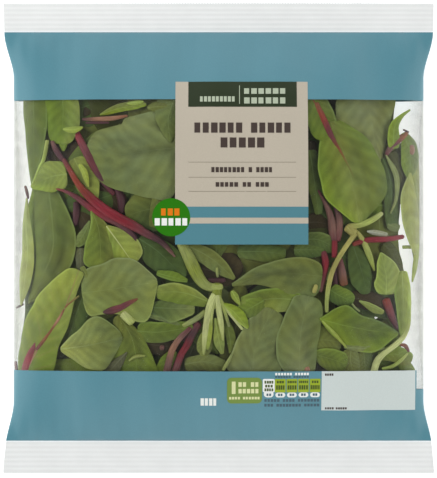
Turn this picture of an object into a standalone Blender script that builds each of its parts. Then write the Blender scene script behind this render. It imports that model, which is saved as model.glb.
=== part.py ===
"""Sealed pillow bag of salad leaves, lying on its back with the printed front up.

The bag is one closed tube of film, squeezed flat and heat-sealed at both ends. Width runs along X,
length along Y and thickness along Z. The origin is at the middle of the underside.

The body is a loft of flattened rings, one for each row along Y. Each ring is a front sheet that
rises from the seal level and a back sheet that drops below it. The leaves press the back sheet flat
against the surface it lies on. Both sheets meet in ribbed seals at half height.
"""

import bpy
import bmesh
import numpy as np

MM = 0.001

# Outline, in millimetres
BAG_LENGTH = 270.6
TOP_SEAL_LENGTH = 17.1
BOTTOM_SEAL_LENGTH = 19.2
CUT_EDGE_WIDTH = 247.5
TOP_ROOT_WIDTH = 246.0
BOTTOM_ROOT_WIDTH = 244.0
WAIST_WIDTH = 235.0

# How far each end's flare reaches, and how S-shaped it is: 2 is a full S, 0 a plain ease-out
TOP_FLARE_LENGTH = 27.0
TOP_FLARE_CURVE = 2.0
BOTTOM_FLARE_LENGTH = 23.5
BOTTOM_FLARE_CURVE = 1.2

# Thickness, in millimetres
SEAL_LEVEL = 19.0
FRONT_RISE = 31.0
BACK_DROP = 27.0
SEAL_THICKNESS = 0.9

# Fullness of the filled body: along the length, then across the width
LENGTH_POWER = 2.3
LENGTH_ROUNDING = 0.9
WIDTH_POWER = 2.4
WIDTH_ROUNDING = 0.55

# Crimp ribs pressed across the seals, in millimetres
TOP_RIBS = 6
BOTTOM_RIBS = 7
RIB_HEIGHT = 0.35

# Gathers that fan out from each seal, and the soft lumps of the leaves inside, in millimetres
GATHER_HEIGHT = 0.9
GATHER_PITCH = 36.0
GATHER_REACH = 17.0
LUMP_HEIGHT = 0.8

# The free seals sag and wave a little towards their cut edges, in millimetres
SEAL_SAG = 2.2
SEAL_WAVE = 1.1
WAVE_PITCH = 230.0

# Printed bands: how far the clear window reaches from the middle of the bag, in millimetres
WINDOW_TOP = 78.4
WINDOW_BOTTOM = -75.2

# Mesh density
COLUMNS = 30
WINDOW_ROWS = 14
BAND_ROWS = 5

TOP_ROOT = BAG_LENGTH / 2 - TOP_SEAL_LENGTH
BOTTOM_ROOT = BOTTOM_SEAL_LENGTH - BAG_LENGTH / 2
BODY_MIDDLE = (TOP_ROOT + BOTTOM_ROOT) / 2
BODY_HALF = (TOP_ROOT - BOTTOM_ROOT) / 2

FINISHES = {
    "white_seal": ((0.83, 0.84, 0.83), 0.45),
    "blue_printed_film": ((0.125, 0.283, 0.342), 0.35),
    "leaves_under_film": ((0.165, 0.205, 0.065), 0.30),
}


def clear_scene():
    for old in list(bpy.data.objects):
        bpy.data.objects.remove(old, do_unlink=True)


def finish(name):
    colour, roughness = FINISHES[name]
    made = bpy.data.materials.new(name)
    made.use_nodes = True
    shader = made.node_tree.nodes["Principled BSDF"]
    shader.inputs["Base Color"].default_value = (*colour, 1.0)
    shader.inputs["Roughness"].default_value = roughness
    shader.inputs["Metallic"].default_value = 0.0
    return made


def row_places():
    """The rows along Y from the bottom cut edge to the top one, with the level of the ribs at each."""
    bottom = np.linspace(-BAG_LENGTH / 2, BOTTOM_ROOT, 2 * BOTTOM_RIBS + 1)
    lower_band = np.linspace(BOTTOM_ROOT, WINDOW_BOTTOM, BAND_ROWS + 1)
    window = np.linspace(WINDOW_BOTTOM, WINDOW_TOP, WINDOW_ROWS + 1)
    upper_band = np.linspace(WINDOW_TOP, TOP_ROOT, BAND_ROWS + 1)
    top = np.linspace(TOP_ROOT, BAG_LENGTH / 2, 2 * TOP_RIBS + 1)
    along = np.concatenate([bottom, lower_band[1:], window[1:], upper_band[1:], top[1:]])
    rib = np.zeros(len(along))
    rib[1 : 2 * BOTTOM_RIBS : 2] = RIB_HEIGHT
    rib[-2 : -2 * TOP_RIBS - 1 : -2] = RIB_HEIGHT
    return along, rib


def from_root(along):
    """Distance from the nearer seal's inner edge: positive in the body, negative in the seal."""
    return np.minimum(TOP_ROOT - along, along - BOTTOM_ROOT)


def half_width(along):
    """Half the width: widest at the cut edges, drawn in to the waist along an S at each end."""
    top = along > BODY_MIDDLE
    root = np.where(top, TOP_ROOT_WIDTH, BOTTOM_ROOT_WIDTH)
    reach = np.where(top, TOP_FLARE_LENGTH, BOTTOM_FLARE_LENGTH)
    curve = np.where(top, TOP_FLARE_CURVE, BOTTOM_FLARE_CURVE)
    inward = np.clip(from_root(along) / reach, 0, 1)
    outward = np.clip(-from_root(along) / TOP_SEAL_LENGTH, 0, 1)
    flare = (1 - inward) ** 2 * (1 + curve * inward)
    width = WAIST_WIDTH + (root - WAIST_WIDTH) * flare
    return (width + (CUT_EDGE_WIDTH - root) * outward) / 2


def fullness(along, across):
    """How far the sheets stand apart, 0 at the seals and side folds and 1 at the middle."""
    lengthwise = np.clip(1 - np.abs((along - BODY_MIDDLE) / BODY_HALF) ** LENGTH_POWER, 0, 1)
    crosswise = np.clip(1 - np.abs(across) ** WIDTH_POWER, 0, 1)
    return lengthwise**LENGTH_ROUNDING * crosswise**WIDTH_ROUNDING


def gathers(along, x):
    """Folds that both sheets share, strongest a little way in from each seal."""
    reach = np.clip(from_root(along), 0, None) / GATHER_REACH
    return GATHER_HEIGHT * reach * np.exp(1 - reach) * np.cos(2 * np.pi * x / GATHER_PITCH)


def seal_bend(along, x):
    """Sag and one long wave of the free seal, growing from its inner edge outwards."""
    beyond = np.clip(-from_root(along) / TOP_SEAL_LENGTH, 0, None)
    wave = SEAL_WAVE * np.sin(2 * np.pi * x / WAVE_PITCH + np.sign(along))
    return wave * beyond - SEAL_SAG * beyond**2


def lumps(x, y):
    """Gentle swells where leaves push the front sheet out: three crossed waves."""
    swell = np.sin(x / 17.0 + 0.6) * np.cos(y / 14.0)
    swell += np.sin((x + y) / 23.0 + 2.1)
    swell += np.cos((x - 1.4 * y) / 19.0)
    return LUMP_HEIGHT * swell / 2


def sheets():
    """Front and back sheets as arrays of points: rows along Y, columns along X."""
    along, rib = row_places()
    across = -np.cos(np.pi * np.arange(COLUMNS + 1) / COLUMNS)
    y, s = np.meshgrid(along, across, indexing="ij")
    x = s * half_width(y)
    full = fullness(y, s)
    level = SEAL_LEVEL + rib[:, None] + gathers(y, x) + seal_bend(y, x)
    front = level + SEAL_THICKNESS / 2 + (FRONT_RISE + lumps(x, y)) * full
    back = np.maximum(level - SEAL_THICKNESS / 2 - BACK_DROP * full, 0.0)
    return np.stack([x, y, front], axis=-1), np.stack([x, y, back], axis=-1)


def material_of_row(y):
    if y > TOP_ROOT or y < BOTTOM_ROOT:
        return 0
    if y > WINDOW_TOP or y < WINDOW_BOTTOM:
        return 1
    return 2


def build_bag():
    front, back = sheets()
    rows = len(front)
    shape = bmesh.new()
    upper = [[shape.verts.new(point * MM) for point in row] for row in front]
    lower = [[shape.verts.new(point * MM) for point in row] for row in back]
    for i in range(rows - 1):
        slot = material_of_row((front[i, 0, 1] + front[i + 1, 0, 1]) / 2)
        faces = []
        for j in range(COLUMNS):
            faces.append((upper[i][j], upper[i][j + 1], upper[i + 1][j + 1], upper[i + 1][j]))
            faces.append((lower[i][j], lower[i + 1][j], lower[i + 1][j + 1], lower[i][j + 1]))
        faces.append((lower[i][0], upper[i][0], upper[i + 1][0], lower[i + 1][0]))
        faces.append((upper[i][-1], lower[i][-1], lower[i + 1][-1], upper[i + 1][-1]))
        for corners in faces:
            shape.faces.new(corners).material_index = slot
    for j in range(COLUMNS):
        shape.faces.new((lower[0][j], lower[0][j + 1], upper[0][j + 1], upper[0][j]))
        shape.faces.new((upper[-1][j], upper[-1][j + 1], lower[-1][j + 1], lower[-1][j]))
    bmesh.ops.triangulate(shape, faces=shape.faces)
    bmesh.ops.recalc_face_normals(shape, faces=shape.faces)
    mesh = bpy.data.meshes.new("salad_bag")
    shape.to_mesh(mesh)
    shape.free()
    for name in FINISHES:
        mesh.materials.append(finish(name))
    mesh.shade_smooth()
    mesh.set_sharp_from_angle(angle=np.radians(40))
    bag = bpy.data.objects.new("salad_bag", mesh)
    bpy.context.scene.collection.objects.link(bag)
    return bag


clear_scene()
build_bag()
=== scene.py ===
"""Sealed pillow bag of mixed salad leaves: clear film, printed bands, crimped seals, a label and leaves.

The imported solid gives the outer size. Every piece here is a surface worked out with numpy on the same
formulas as that solid, so film, print and leaves follow one shape. Shape functions work in millimetres,
and make_piece turns them to metres.
"""
from collections import namedtuple

import bpy
import numpy as np
from bpy.props import FloatProperty, FloatVectorProperty, IntProperty, PointerProperty
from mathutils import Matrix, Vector


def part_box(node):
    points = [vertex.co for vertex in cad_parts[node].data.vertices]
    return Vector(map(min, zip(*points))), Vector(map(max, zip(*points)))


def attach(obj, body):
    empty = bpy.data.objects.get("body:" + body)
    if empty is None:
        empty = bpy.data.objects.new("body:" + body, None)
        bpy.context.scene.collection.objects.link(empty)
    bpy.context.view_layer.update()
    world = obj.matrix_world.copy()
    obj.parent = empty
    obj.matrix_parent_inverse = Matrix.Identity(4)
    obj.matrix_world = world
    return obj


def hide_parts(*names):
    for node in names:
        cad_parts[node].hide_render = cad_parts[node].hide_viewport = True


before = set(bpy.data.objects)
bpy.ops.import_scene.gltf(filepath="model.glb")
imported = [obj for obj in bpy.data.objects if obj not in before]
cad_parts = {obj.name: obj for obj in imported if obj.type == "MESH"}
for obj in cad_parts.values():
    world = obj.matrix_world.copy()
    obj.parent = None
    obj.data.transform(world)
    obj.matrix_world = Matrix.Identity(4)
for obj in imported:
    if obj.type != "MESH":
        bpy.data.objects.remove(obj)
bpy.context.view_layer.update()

bl_info = {
    "name": "Salad Bag",
    "version": (1, 0, 0),
    "blender": (4, 5, 0),
    "location": "3D View > Sidebar > Salad Bag",
    "description": "Builds a sealed clear film bag of mixed salad leaves around its packed solid",
    "category": "Object",
}

MM = 0.001
BODY = "root"
CAD_BAG = "salad_bag"
LOW, HIGH = (np.array(corner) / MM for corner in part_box(CAD_BAG))


# ---------------------------------------------------------------- the shape of the bag

# The same figures as the imported solid, in millimetres
BAG_LENGTH = HIGH[1] - LOW[1]
CUT_EDGE_WIDTH = HIGH[0] - LOW[0]
TOP_SEAL_LENGTH = 17.1
BOTTOM_SEAL_LENGTH = 19.2
TOP_ROOT_WIDTH = 246.0
BOTTOM_ROOT_WIDTH = 244.0
WAIST_WIDTH = 235.0
TOP_FLARE_LENGTH = 27.0
TOP_FLARE_CURVE = 2.0
BOTTOM_FLARE_LENGTH = 23.5
BOTTOM_FLARE_CURVE = 1.2
SEAL_LEVEL = 19.0
FRONT_RISE = 31.0
BACK_DROP = 27.0
SEAL_THICKNESS = 0.9
LENGTH_POWER = 2.3
LENGTH_ROUNDING = 0.9
WIDTH_POWER = 2.4
WIDTH_ROUNDING = 0.55
GATHER_HEIGHT = 0.9
GATHER_PITCH = 36.0
GATHER_REACH = 17.0
LUMP_HEIGHT = 0.8
SEAL_SAG = 2.2
SEAL_WAVE = 1.1
WAVE_PITCH = 230.0
TOP_ROOT = BAG_LENGTH / 2 - TOP_SEAL_LENGTH
BOTTOM_ROOT = BOTTOM_SEAL_LENGTH - BAG_LENGTH / 2
BODY_MIDDLE = (TOP_ROOT + BOTTOM_ROOT) / 2
BODY_HALF = (TOP_ROOT - BOTTOM_ROOT) / 2

# The back film rests this far above the ground, which leaves room for the lap seam under it
BACK_REST = 0.35


def from_root(y):
    """Distance from the nearer seal's inner edge: positive in the body, negative in the seal."""
    return np.minimum(TOP_ROOT - y, y - BOTTOM_ROOT)


def half_width(y):
    """Half the width: the waist plus a flare (1 - t)^2 (1 + c t) over each end, then a straight run to
    the cut."""
    top = y > BODY_MIDDLE
    root = np.where(top, TOP_ROOT_WIDTH, BOTTOM_ROOT_WIDTH)
    reach = np.where(top, TOP_FLARE_LENGTH, BOTTOM_FLARE_LENGTH)
    curve = np.where(top, TOP_FLARE_CURVE, BOTTOM_FLARE_CURVE)
    inward = np.clip(from_root(y) / reach, 0, 1)
    outward = np.clip(-from_root(y) / TOP_SEAL_LENGTH, 0, 1)
    flare = (1 - inward) ** 2 * (1 + curve * inward)
    width = WAIST_WIDTH + (root - WAIST_WIDTH) * flare
    return (width + (CUT_EDGE_WIDTH - root) * outward) / 2


def fullness(x, y):
    """How far the sheets stand apart: (1 - |v|^a)^b along the length times the same form across the
    width."""
    across = np.clip(np.abs(x) / half_width(y), 0, 1)
    along = np.clip(np.abs((y - BODY_MIDDLE) / BODY_HALF), 0, 1)
    return (1 - along**LENGTH_POWER) ** LENGTH_ROUNDING * (1 - across**WIDTH_POWER) ** WIDTH_ROUNDING


def middle_level(x, y):
    """Height of the side folds and seals: a level, plus gathers t e^(1-t) cos(x), plus the free seal's
    wave and sag."""
    reach = np.clip(from_root(y), 0, None) / GATHER_REACH
    gather = GATHER_HEIGHT * reach * np.exp(1 - reach) * np.cos(2 * np.pi * x / GATHER_PITCH)
    beyond = np.clip(-from_root(y) / TOP_SEAL_LENGTH, 0, None)
    wave = SEAL_WAVE * np.sin(2 * np.pi * x / WAVE_PITCH + np.sign(y)) * beyond
    return SEAL_LEVEL + gather + wave - SEAL_SAG * beyond**2


def lumps(x, y):
    """Gentle swells where leaves push the front out: three crossed waves."""
    swell = np.sin(x / 17.0 + 0.6) * np.cos(y / 14.0)
    swell = swell + np.sin((x + y) / 23.0 + 2.1)
    swell = swell + np.cos((x - 1.4 * y) / 19.0)
    return LUMP_HEIGHT * swell / 2


def front_level(x, y):
    """Height of the front sheet without its fine creases."""
    return middle_level(x, y) + SEAL_THICKNESS / 2 + (FRONT_RISE + lumps(x, y)) * fullness(x, y)


def back_level(x, y):
    """Height of the back sheet, pressed flat where it rests."""
    hanging = middle_level(x, y) - SEAL_THICKNESS / 2 - BACK_DROP * fullness(x, y)
    return np.maximum(hanging, BACK_REST)


CREASE_WAVES = ((0.3, 21.0, 0.4), (1.25, 15.0, 2.0), (2.1, 18.0, 4.4), (2.75, 12.0, 1.1), (0.85, 27.0, 5.2))
FINE_GATHER_PITCH = 9.5
FINE_GATHER_REACH = 5.5


def creases(x, y, height):
    """Fine creases: ridges (1 - |sin|)^3 along five directions, each let through in patches by a slow
    wave across it, plus short gathers t e^(1-t) cos(x) fanning from the seals."""
    total = 0 * x
    for angle, pitch, phase in CREASE_WAVES:
        along = x * np.cos(angle) + y * np.sin(angle)
        across = y * np.cos(angle) - x * np.sin(angle)
        bend = 0.9 * np.sin(across / 24.0 + phase)
        ridge = (1 - np.abs(np.sin(np.pi * along / pitch + phase + bend))) ** 3
        patch = np.clip(np.sin(across / 31.0 + 2.3 * phase) * np.sin(along / 43.0 + phase), 0, 1)
        total = total + ridge * patch
    reach = np.clip(from_root(y), 0, None) / FINE_GATHER_REACH
    fan = np.cos(2 * np.pi * x / FINE_GATHER_PITCH + 1.6 * np.sin(x / 17.0))
    fold = np.clip(np.abs(x) / half_width(y), 0, 1) ** 6
    return height * (total * (1 - fold) + reach * np.exp(1 - reach) * fan)


# ---------------------------------------------------------------- colours, nodes and meshes


def linear(code):
    """The linear colour of an sRGB hex code: c / 12.92 when dark, else ((c + 0.055) / 1.055)^2.4."""
    channels = np.array([int(code[i : i + 2], 16) for i in (1, 3, 5)]) / 255
    bright = ((channels + 0.055) / 1.055) ** 2.4
    return tuple(float(c) for c in np.where(channels <= 0.04045, channels / 12.92, bright))


def colour_property(label, about, code):
    return FloatVectorProperty(
        name=label, description=about, subtype="COLOR", size=3, min=0.0, max=1.0, default=linear(code)
    )


def length_property(label, about, value, low=0.0):
    """A length in millimetres."""
    return FloatProperty(
        name=label, description=about + ", in millimetres", default=value, min=low, step=10
    )


def add(tree, kind, values=None, links=None, **options):
    """Adds one shader node, with its options, its sockets' own values, and its links from other nodes'
    outputs."""
    node = tree.nodes.new("ShaderNode" + kind)
    for name, value in options.items():
        setattr(node, name, value)
    for socket, value in (values or {}).items():
        node.inputs[socket].default_value = value
    for socket, source in (links or {}).items():
        tree.links.new(source, node.inputs[socket])
    return node


def new_material(name):
    """An empty node material and its tree."""
    made = bpy.data.materials.new(name)
    made.use_nodes = True
    made.node_tree.nodes.clear()
    return made, made.node_tree


def opaque(colour):
    return (*colour[:3], 1.0)


class Heap:
    """Closed surfaces gathered into one piece: points in millimetres, faces, and values that each point
    carries."""

    def __init__(self):
        self.points = []
        self.faces = []
        self.slots = []
        self.values = {}
        self.count = 0

    def add(self, points, faces, slots=0, **values):
        """faces is a list of arrays, each with one face a row. slots is one number or one array for each
        of them."""
        self.points.append(points)
        for i, rows in enumerate(faces):
            slot = slots[i] if isinstance(slots, list) else slots
            self.faces.append(rows + self.count)
            self.slots.append(np.broadcast_to(slot, len(rows)))
        for name, value in values.items():
            value = np.asarray(value, float)
            whole = np.broadcast_to(value, (len(points), *value.shape[1:])) if value.ndim != 1 else value
            if value.ndim == 1 and len(value) != len(points):
                whole = np.broadcast_to(value, (len(points), len(value)))
            self.values.setdefault(name, []).append(whole)
        self.count += len(points)


def closed_sheet(top, bottom):
    """Points and faces of a closed body between two sheets on the same grid, rows by columns by 3.
    Rows run away and columns run to the right, seen from above. The edges are joined by narrow sides."""
    rows, columns = top.shape[:2]
    above = np.arange(rows * columns).reshape(rows, columns)
    below = above + rows * columns
    points = np.concatenate([top.reshape(-1, 3), bottom.reshape(-1, 3)])

    def quads(a, b, c, d):
        return np.stack([a, b, c, d], axis=-1).reshape(-1, 4)

    front = quads(above[:-1, :-1], above[:-1, 1:], above[1:, 1:], above[1:, :-1])
    back = quads(below[:-1, :-1], below[1:, :-1], below[1:, 1:], below[:-1, 1:])
    left = quads(below[:-1, 0], above[:-1, 0], above[1:, 0], below[1:, 0])
    right = quads(above[:-1, -1], below[:-1, -1], below[1:, -1], above[1:, -1])
    near = quads(below[0, :-1], below[0, 1:], above[0, 1:], above[0, :-1])
    far = quads(above[-1, :-1], above[-1, 1:], below[-1, 1:], below[-1, :-1])
    return points, [front, back, left, right, near, far]


def tube(rings):
    """Points and faces of a closed tube through rings, an array of rings by points by 3, capped at both
    ends. Each ring turns anticlockwise seen from the tube's far end."""
    count, around = rings.shape[:2]
    index = np.arange(count * around).reshape(count, around)
    turned = np.roll(index, -1, axis=1)
    sides = np.stack([index[:-1], turned[:-1], turned[1:], index[1:]], axis=-1).reshape(-1, 4)
    return rings.reshape(-1, 3), [sides, index[:1, ::-1], index[-1:]]


def make_piece(name, heap, materials, sharp=40.0):
    """One object at the origin, made of a heap's surfaces, riding on the bag and standing for its solid."""
    mesh = bpy.data.meshes.new(name)
    points = np.concatenate(heap.points) * MM
    corners = np.concatenate([faces.ravel() for faces in heap.faces]).astype(np.int32)
    sizes = np.concatenate([np.full(len(faces), faces.shape[1]) for faces in heap.faces])
    starts = (np.cumsum(sizes) - sizes).astype(np.int32)
    mesh.vertices.add(len(points))
    mesh.vertices.foreach_set("co", points.astype(np.float32).ravel())
    mesh.loops.add(len(corners))
    mesh.loops.foreach_set("vertex_index", corners)
    mesh.polygons.add(len(sizes))
    mesh.polygons.foreach_set("loop_start", starts)
    mesh.polygons.foreach_set("material_index", np.concatenate(heap.slots).astype(np.int32))
    mesh.update(calc_edges=True)
    for key, chunks in heap.values.items():
        whole = np.concatenate(chunks).astype(np.float32)
        if key == "uv":
            layer = mesh.uv_layers.new(name="surface")
            layer.data.foreach_set("uv", whole[corners].ravel())
        elif whole.ndim == 1:
            mesh.attributes.new(key, "FLOAT", "POINT").data.foreach_set("value", whole)
        else:
            rgba = np.concatenate([whole, np.ones((len(whole), 1), np.float32)], axis=1)
            mesh.attributes.new(key, "FLOAT_COLOR", "POINT").data.foreach_set("color", rgba.ravel())
    for material in materials:
        mesh.materials.append(material)
    mesh.shade_smooth()
    mesh.set_sharp_from_angle(angle=np.radians(sharp))
    piece = bpy.data.objects.new(name, mesh)
    bpy.context.scene.collection.objects.link(piece)
    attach(piece, BODY)
    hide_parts(CAD_BAG)
    return piece


# ---------------------------------------------------------------- settings a user would change


class SaladBagFilm(bpy.types.PropertyGroup):
    """The film, its printed bands and its seals."""

    window_top: length_property("Window top", "Where the clear window ends towards the top", 78.8, -100)
    window_bottom: length_property(
        "Window bottom", "Where the clear window ends towards the bottom", -75.4, -100
    )
    notch_edge: length_property(
        "Notch edge", "How far across the clear notch at the right fold starts", 113.1
    )
    notch_bottom: length_property("Notch bottom", "Where that notch ends towards the bottom", -86.4, -100)
    crease_height: length_property("Crease height", "Height of the finest creases", 0.16)
    haze: FloatProperty(
        name="Haze",
        description="Share of the light that the film scatters",
        default=0.012,
        min=0,
        max=1,
        subtype="FACTOR",
    )
    band: colour_property("Band", "Ink of the printed bands", "#588D9B")
    rib_pitch: length_property("Rib pitch", "Spacing of the seal's crimp ribs", 2.75, 0.5)
    rib_height: length_property("Rib height", "Height of the seal's crimp ribs", 0.14)
    tooth_pitch: length_property("Tooth pitch", "Spacing of the teeth along the cut edges", 1.6, 0.4)
    tooth_depth: length_property("Tooth depth", "Depth of the teeth along the cut edges", 0.45)
    seal: colour_property("Seal", "White of the crimped seals", "#F2F4F3")
    margin: colour_property("Margin", "Bare strip between seal and band", "#F7FBFC")
    margin_width: length_property("Margin width", "Width of that bare strip", 0.85)


class SaladBagPrint(bpy.types.PropertyGroup):
    """Inks of the label and of the panels below the window."""

    lift: length_property("Lift", "How far each layer of ink stands above the one below", 0.05)
    paper: colour_property("Label", "Label ground", "#BFB6A5")
    header: colour_property("Header", "Dark field at the head of the label", "#27331C")
    header_ink: colour_property("Header ink", "Pale marks in the dark field", "#B4BFA8")
    title: colour_property("Title", "Dark marks on the label", "#463B36")
    rule: colour_property("Rule", "Thin rules on the label", "#8C8474")
    stripe: colour_property("Stripe", "Blue stripes at the foot of the label", "#528692")
    roundel: colour_property("Roundel", "Green disc", "#267600")
    roundel_mark: colour_property("Roundel mark", "Orange marks on the disc", "#E07A10")
    white: colour_property("White", "White marks", "#EEF1EC")
    badge: colour_property("Badge", "Olive badge", "#75903F")
    badge_ink: colour_property("Badge ink", "Pale marks on the badge", "#DDE0A8")
    cell: colour_property("Cell", "Yellow-green table cells", "#9BB024")
    cell_ink: colour_property("Cell ink", "Dark marks in the table", "#47561A")
    note_ink: colour_property("Note ink", "Small marks on the band", "#46606C")
    panel: colour_property("Panel", "Pale blank panel", "#CED8D5")


class SaladBagLeaves(bpy.types.PropertyGroup):
    """Colours and fill of the salad."""

    seed: IntProperty(name="Seed", description="Start of every random draw", default=7, min=0)
    fill_leaves: IntProperty(
        name="Fill leaves", description="Leaves packed under the front ones", default=165, min=0
    )
    back_leaves: IntProperty(
        name="Back leaves", description="Leaves along the back and sides", default=150, min=0
    )
    blade: length_property("Blade", "Thickness of a leaf", 0.32, 0.05)
    mid: colour_property("Mid green", "Young spinach", "#647534")
    bright: colour_property("Bright green", "Young chard", "#6F862E")
    sun: colour_property("Sun green", "Thin leaf against the light", "#7F9626")
    lime: colour_property("Lime", "Folded leaf edges", "#96A84A")
    dark: colour_property("Dark green", "Leaves in shade", "#4D632F")
    # Painted shade: deep is a darker green for leaves lying deeper in the heap, where less light reaches
    deep: colour_property("Deep green", "Leaves far inside", "#474E1E")
    # Painted shade: shade is a dark brown for leaves laid in the gaps, where the heap is in shadow
    shade: colour_property("Shade", "Bruised leaf in the gaps", "#40371F")
    pale: colour_property("Pale green", "Undersides turned up", "#88964C")
    olive: colour_property("Olive", "Older spinach", "#6F7836")
    grey: colour_property("Grey green", "Dull undersides", "#717F4A")
    mist: colour_property("Mist green", "Undersides with a bloom", "#7F8B58")
    # Painted shade: slate is a dull grey-green for leaves seen in the grey gaps between others
    slate: colour_property("Slate", "Wilted leaf", "#5C6046")
    straw: colour_property("Straw green", "Thin pale edges", "#98A35C")
    # Painted glint: white is a pale grey-white for a small piece laid where the film glares
    white: colour_property("White", "Bleached leaf base", "#A7AA96")
    # Painted shade: heart is a near-black brown for the packed middle, seen only deep in the gaps
    heart: colour_property("Heart", "Packed middle", "#3C3619")


class SaladBagStalks(bpy.types.PropertyGroup):
    """Colours of stalks and ribs."""

    crimson: colour_property("Crimson", "Brightest chard stalks", "#8C2834")
    brick: colour_property("Brick", "Warm red chard stalks", "#8A3A2C")
    wine: colour_property("Wine", "Darker chard stalks", "#743A40")
    mauve: colour_property("Mauve", "Stalks with a dull bloom", "#7C5850")
    plum: colour_property("Plum", "Purple stalks in shade", "#55343A")
    pink: colour_property("Pink", "Pale pink stalks", "#A0745C")
    rust: colour_property("Rust", "Drying stalk ends", "#8C5634")
    olive_rib: colour_property("Olive rib", "Ribs that fade into the leaf", "#7C7A3C")
    mist_rib: colour_property("Mist rib", "Dull green ribs", "#8C9660")
    straw_rib: colour_property("Straw rib", "Yellow stalks", "#B4AE62")
    celery: colour_property("Celery", "Green stalks", "#A5B060")
    lime: colour_property("Lime", "Bright green stalks", "#A2B658")
    sprout: colour_property("Sprout", "Yellow-green rosette base", "#8E9A3C")
    ivory: colour_property("Ivory", "Pale rosette stalks", "#C4CB88")


class SaladBagStudio(bpy.types.PropertyGroup):
    """Floor, light and camera."""

    floor: colour_property("Floor", "Floor", "#F4F4F3")
    floor_glow: FloatProperty(
        name="Floor glow", description="Light the floor gives off", default=0.5, min=0
    )
    sky: FloatProperty(name="Sky", description="Strength of the even light", default=0.9, min=0)
    hood: FloatProperty(
        name="Hood", description="Strength of the even light straight above", default=0.12, min=0
    )
    lamp: FloatProperty(name="Lamps", description="Power of both soft lamps, in watts", default=20.0, min=0)
    lens: FloatProperty(name="Lens", description="Focal length, in millimetres", default=200.0, min=1)
    height: FloatProperty(
        name="Camera height", description="Camera above the ground", default=1.543, min=0.1, unit="LENGTH"
    )


# ---------------------------------------------------------------- materials


def surface_noise(tree, place, scale, detail=2.0, stretch=(1.0, 1.0, 1.0)):
    """A soft noise over the object's own place. scale is in features a metre."""
    moved = add(tree, "Mapping", {"Scale": stretch}, {"Vector": place})
    return add(
        tree, "TexNoise", {"Scale": scale, "Detail": detail}, {"Vector": moved.outputs[0]}
    ).outputs["Fac"]


# Light thrown back by a crumpled film seen edge on
MOST_GLOSS = 0.28

# How far in from each side fold the film is crumpled, in millimetres, and how much light it scatters at
# the fold
FOLD_VEIL_WIDTH = 13.0
FOLD_VEIL = 0.3
MILK = "#B4B6AE"


def clear_film(haze):
    """Cast polypropylene film, 35 micrometres, clear: the eye gets a thin skin with window-like gloss
    that sharpens at grazing angles, and a faint milky veil that is denser in streaks where the film is
    stretched."""
    made, tree = new_material("clear_polypropylene_film")
    place = add(tree, "TexCoord").outputs["Object"]
    streaks = surface_noise(tree, place, 45.0, 3.0, (1.0, 0.35, 1.0))
    ripple = surface_noise(tree, place, 160.0, 3.0)
    bump = add(tree, "Bump", {"Strength": 0.25, "Distance": 0.0006}, {"Height": ripple})
    veil = add(tree, "MapRange", {1: 0.35, 2: 0.75, 3: haze * 0.5, 4: haze * 2.2}, {0: streaks})
    clear = add(tree, "BsdfTransparent", {"Color": (0.975, 0.98, 0.975, 1.0)})
    fold = add(tree, "Attribute", attribute_name="fold_veil").outputs["Fac"]
    uneven = add(tree, "MapRange", {1: 0.35, 2: 0.65, 3: 0.7, 4: 1.2}, {0: ripple})
    dense = add(
        tree, "Math", None, {0: fold, 1: uneven.outputs[0], 2: veil.outputs[0]}, operation="MULTIPLY_ADD"
    )
    milk = add(tree, "BsdfPrincipled", {"Base Color": opaque(linear(MILK)), "Roughness": 0.6})
    skin = add(tree, "MixShader", None, {0: dense.outputs[0], 1: clear.outputs[0], 2: milk.outputs[0]})
    gloss = add(tree, "BsdfGlossy", {"Color": (1, 1, 1, 1), "Roughness": 0.12}, {"Normal": bump.outputs[0]})
    edge = add(tree, "Fresnel", {"IOR": 1.49}, {"Normal": bump.outputs[0]})
    share = add(tree, "Math", {1: MOST_GLOSS}, {0: edge.outputs[0]}, operation="MINIMUM")
    whole = add(tree, "MixShader", None, {0: share.outputs[0], 1: skin.outputs[0], 2: gloss.outputs[0]})
    add(tree, "OutputMaterial", None, {"Surface": whole.outputs[0]})
    return made


def printed_film(colour):
    """The same film reverse printed with one flat ink: an even matt colour seen through gloss, with the
    slight mottle of a flexographic print, about 0.6 mm across."""
    made, tree = new_material("flexo_printed_film")
    place = add(tree, "TexCoord").outputs["Object"]
    mottle = surface_noise(tree, place, 1600.0)
    wide = surface_noise(tree, place, 30.0)
    tone = add(tree, "MapRange", {1: 0.3, 2: 0.7, 3: 0.0, 4: 1.0}, {0: mottle})
    dark = tuple(0.965 * c for c in colour)
    light = tuple(min(1.0, 1.035 * c) for c in colour)
    ink = add(tree, "Mix", {6: opaque(dark), 7: opaque(light)}, {0: tone.outputs[0]}, data_type="RGBA")
    bump = add(tree, "Bump", {"Strength": 0.12, "Distance": 0.0004}, {"Height": wide})
    values = {"Roughness": 0.38, "IOR": 1.49, "Coat Weight": 0.25, "Coat Roughness": 0.15}
    shader = add(
        tree, "BsdfPrincipled", values, {"Base Color": ink.outputs[2], "Normal": bump.outputs[0]}
    )
    add(tree, "OutputMaterial", None, {"Surface": shader.outputs[0]})
    return made


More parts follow.
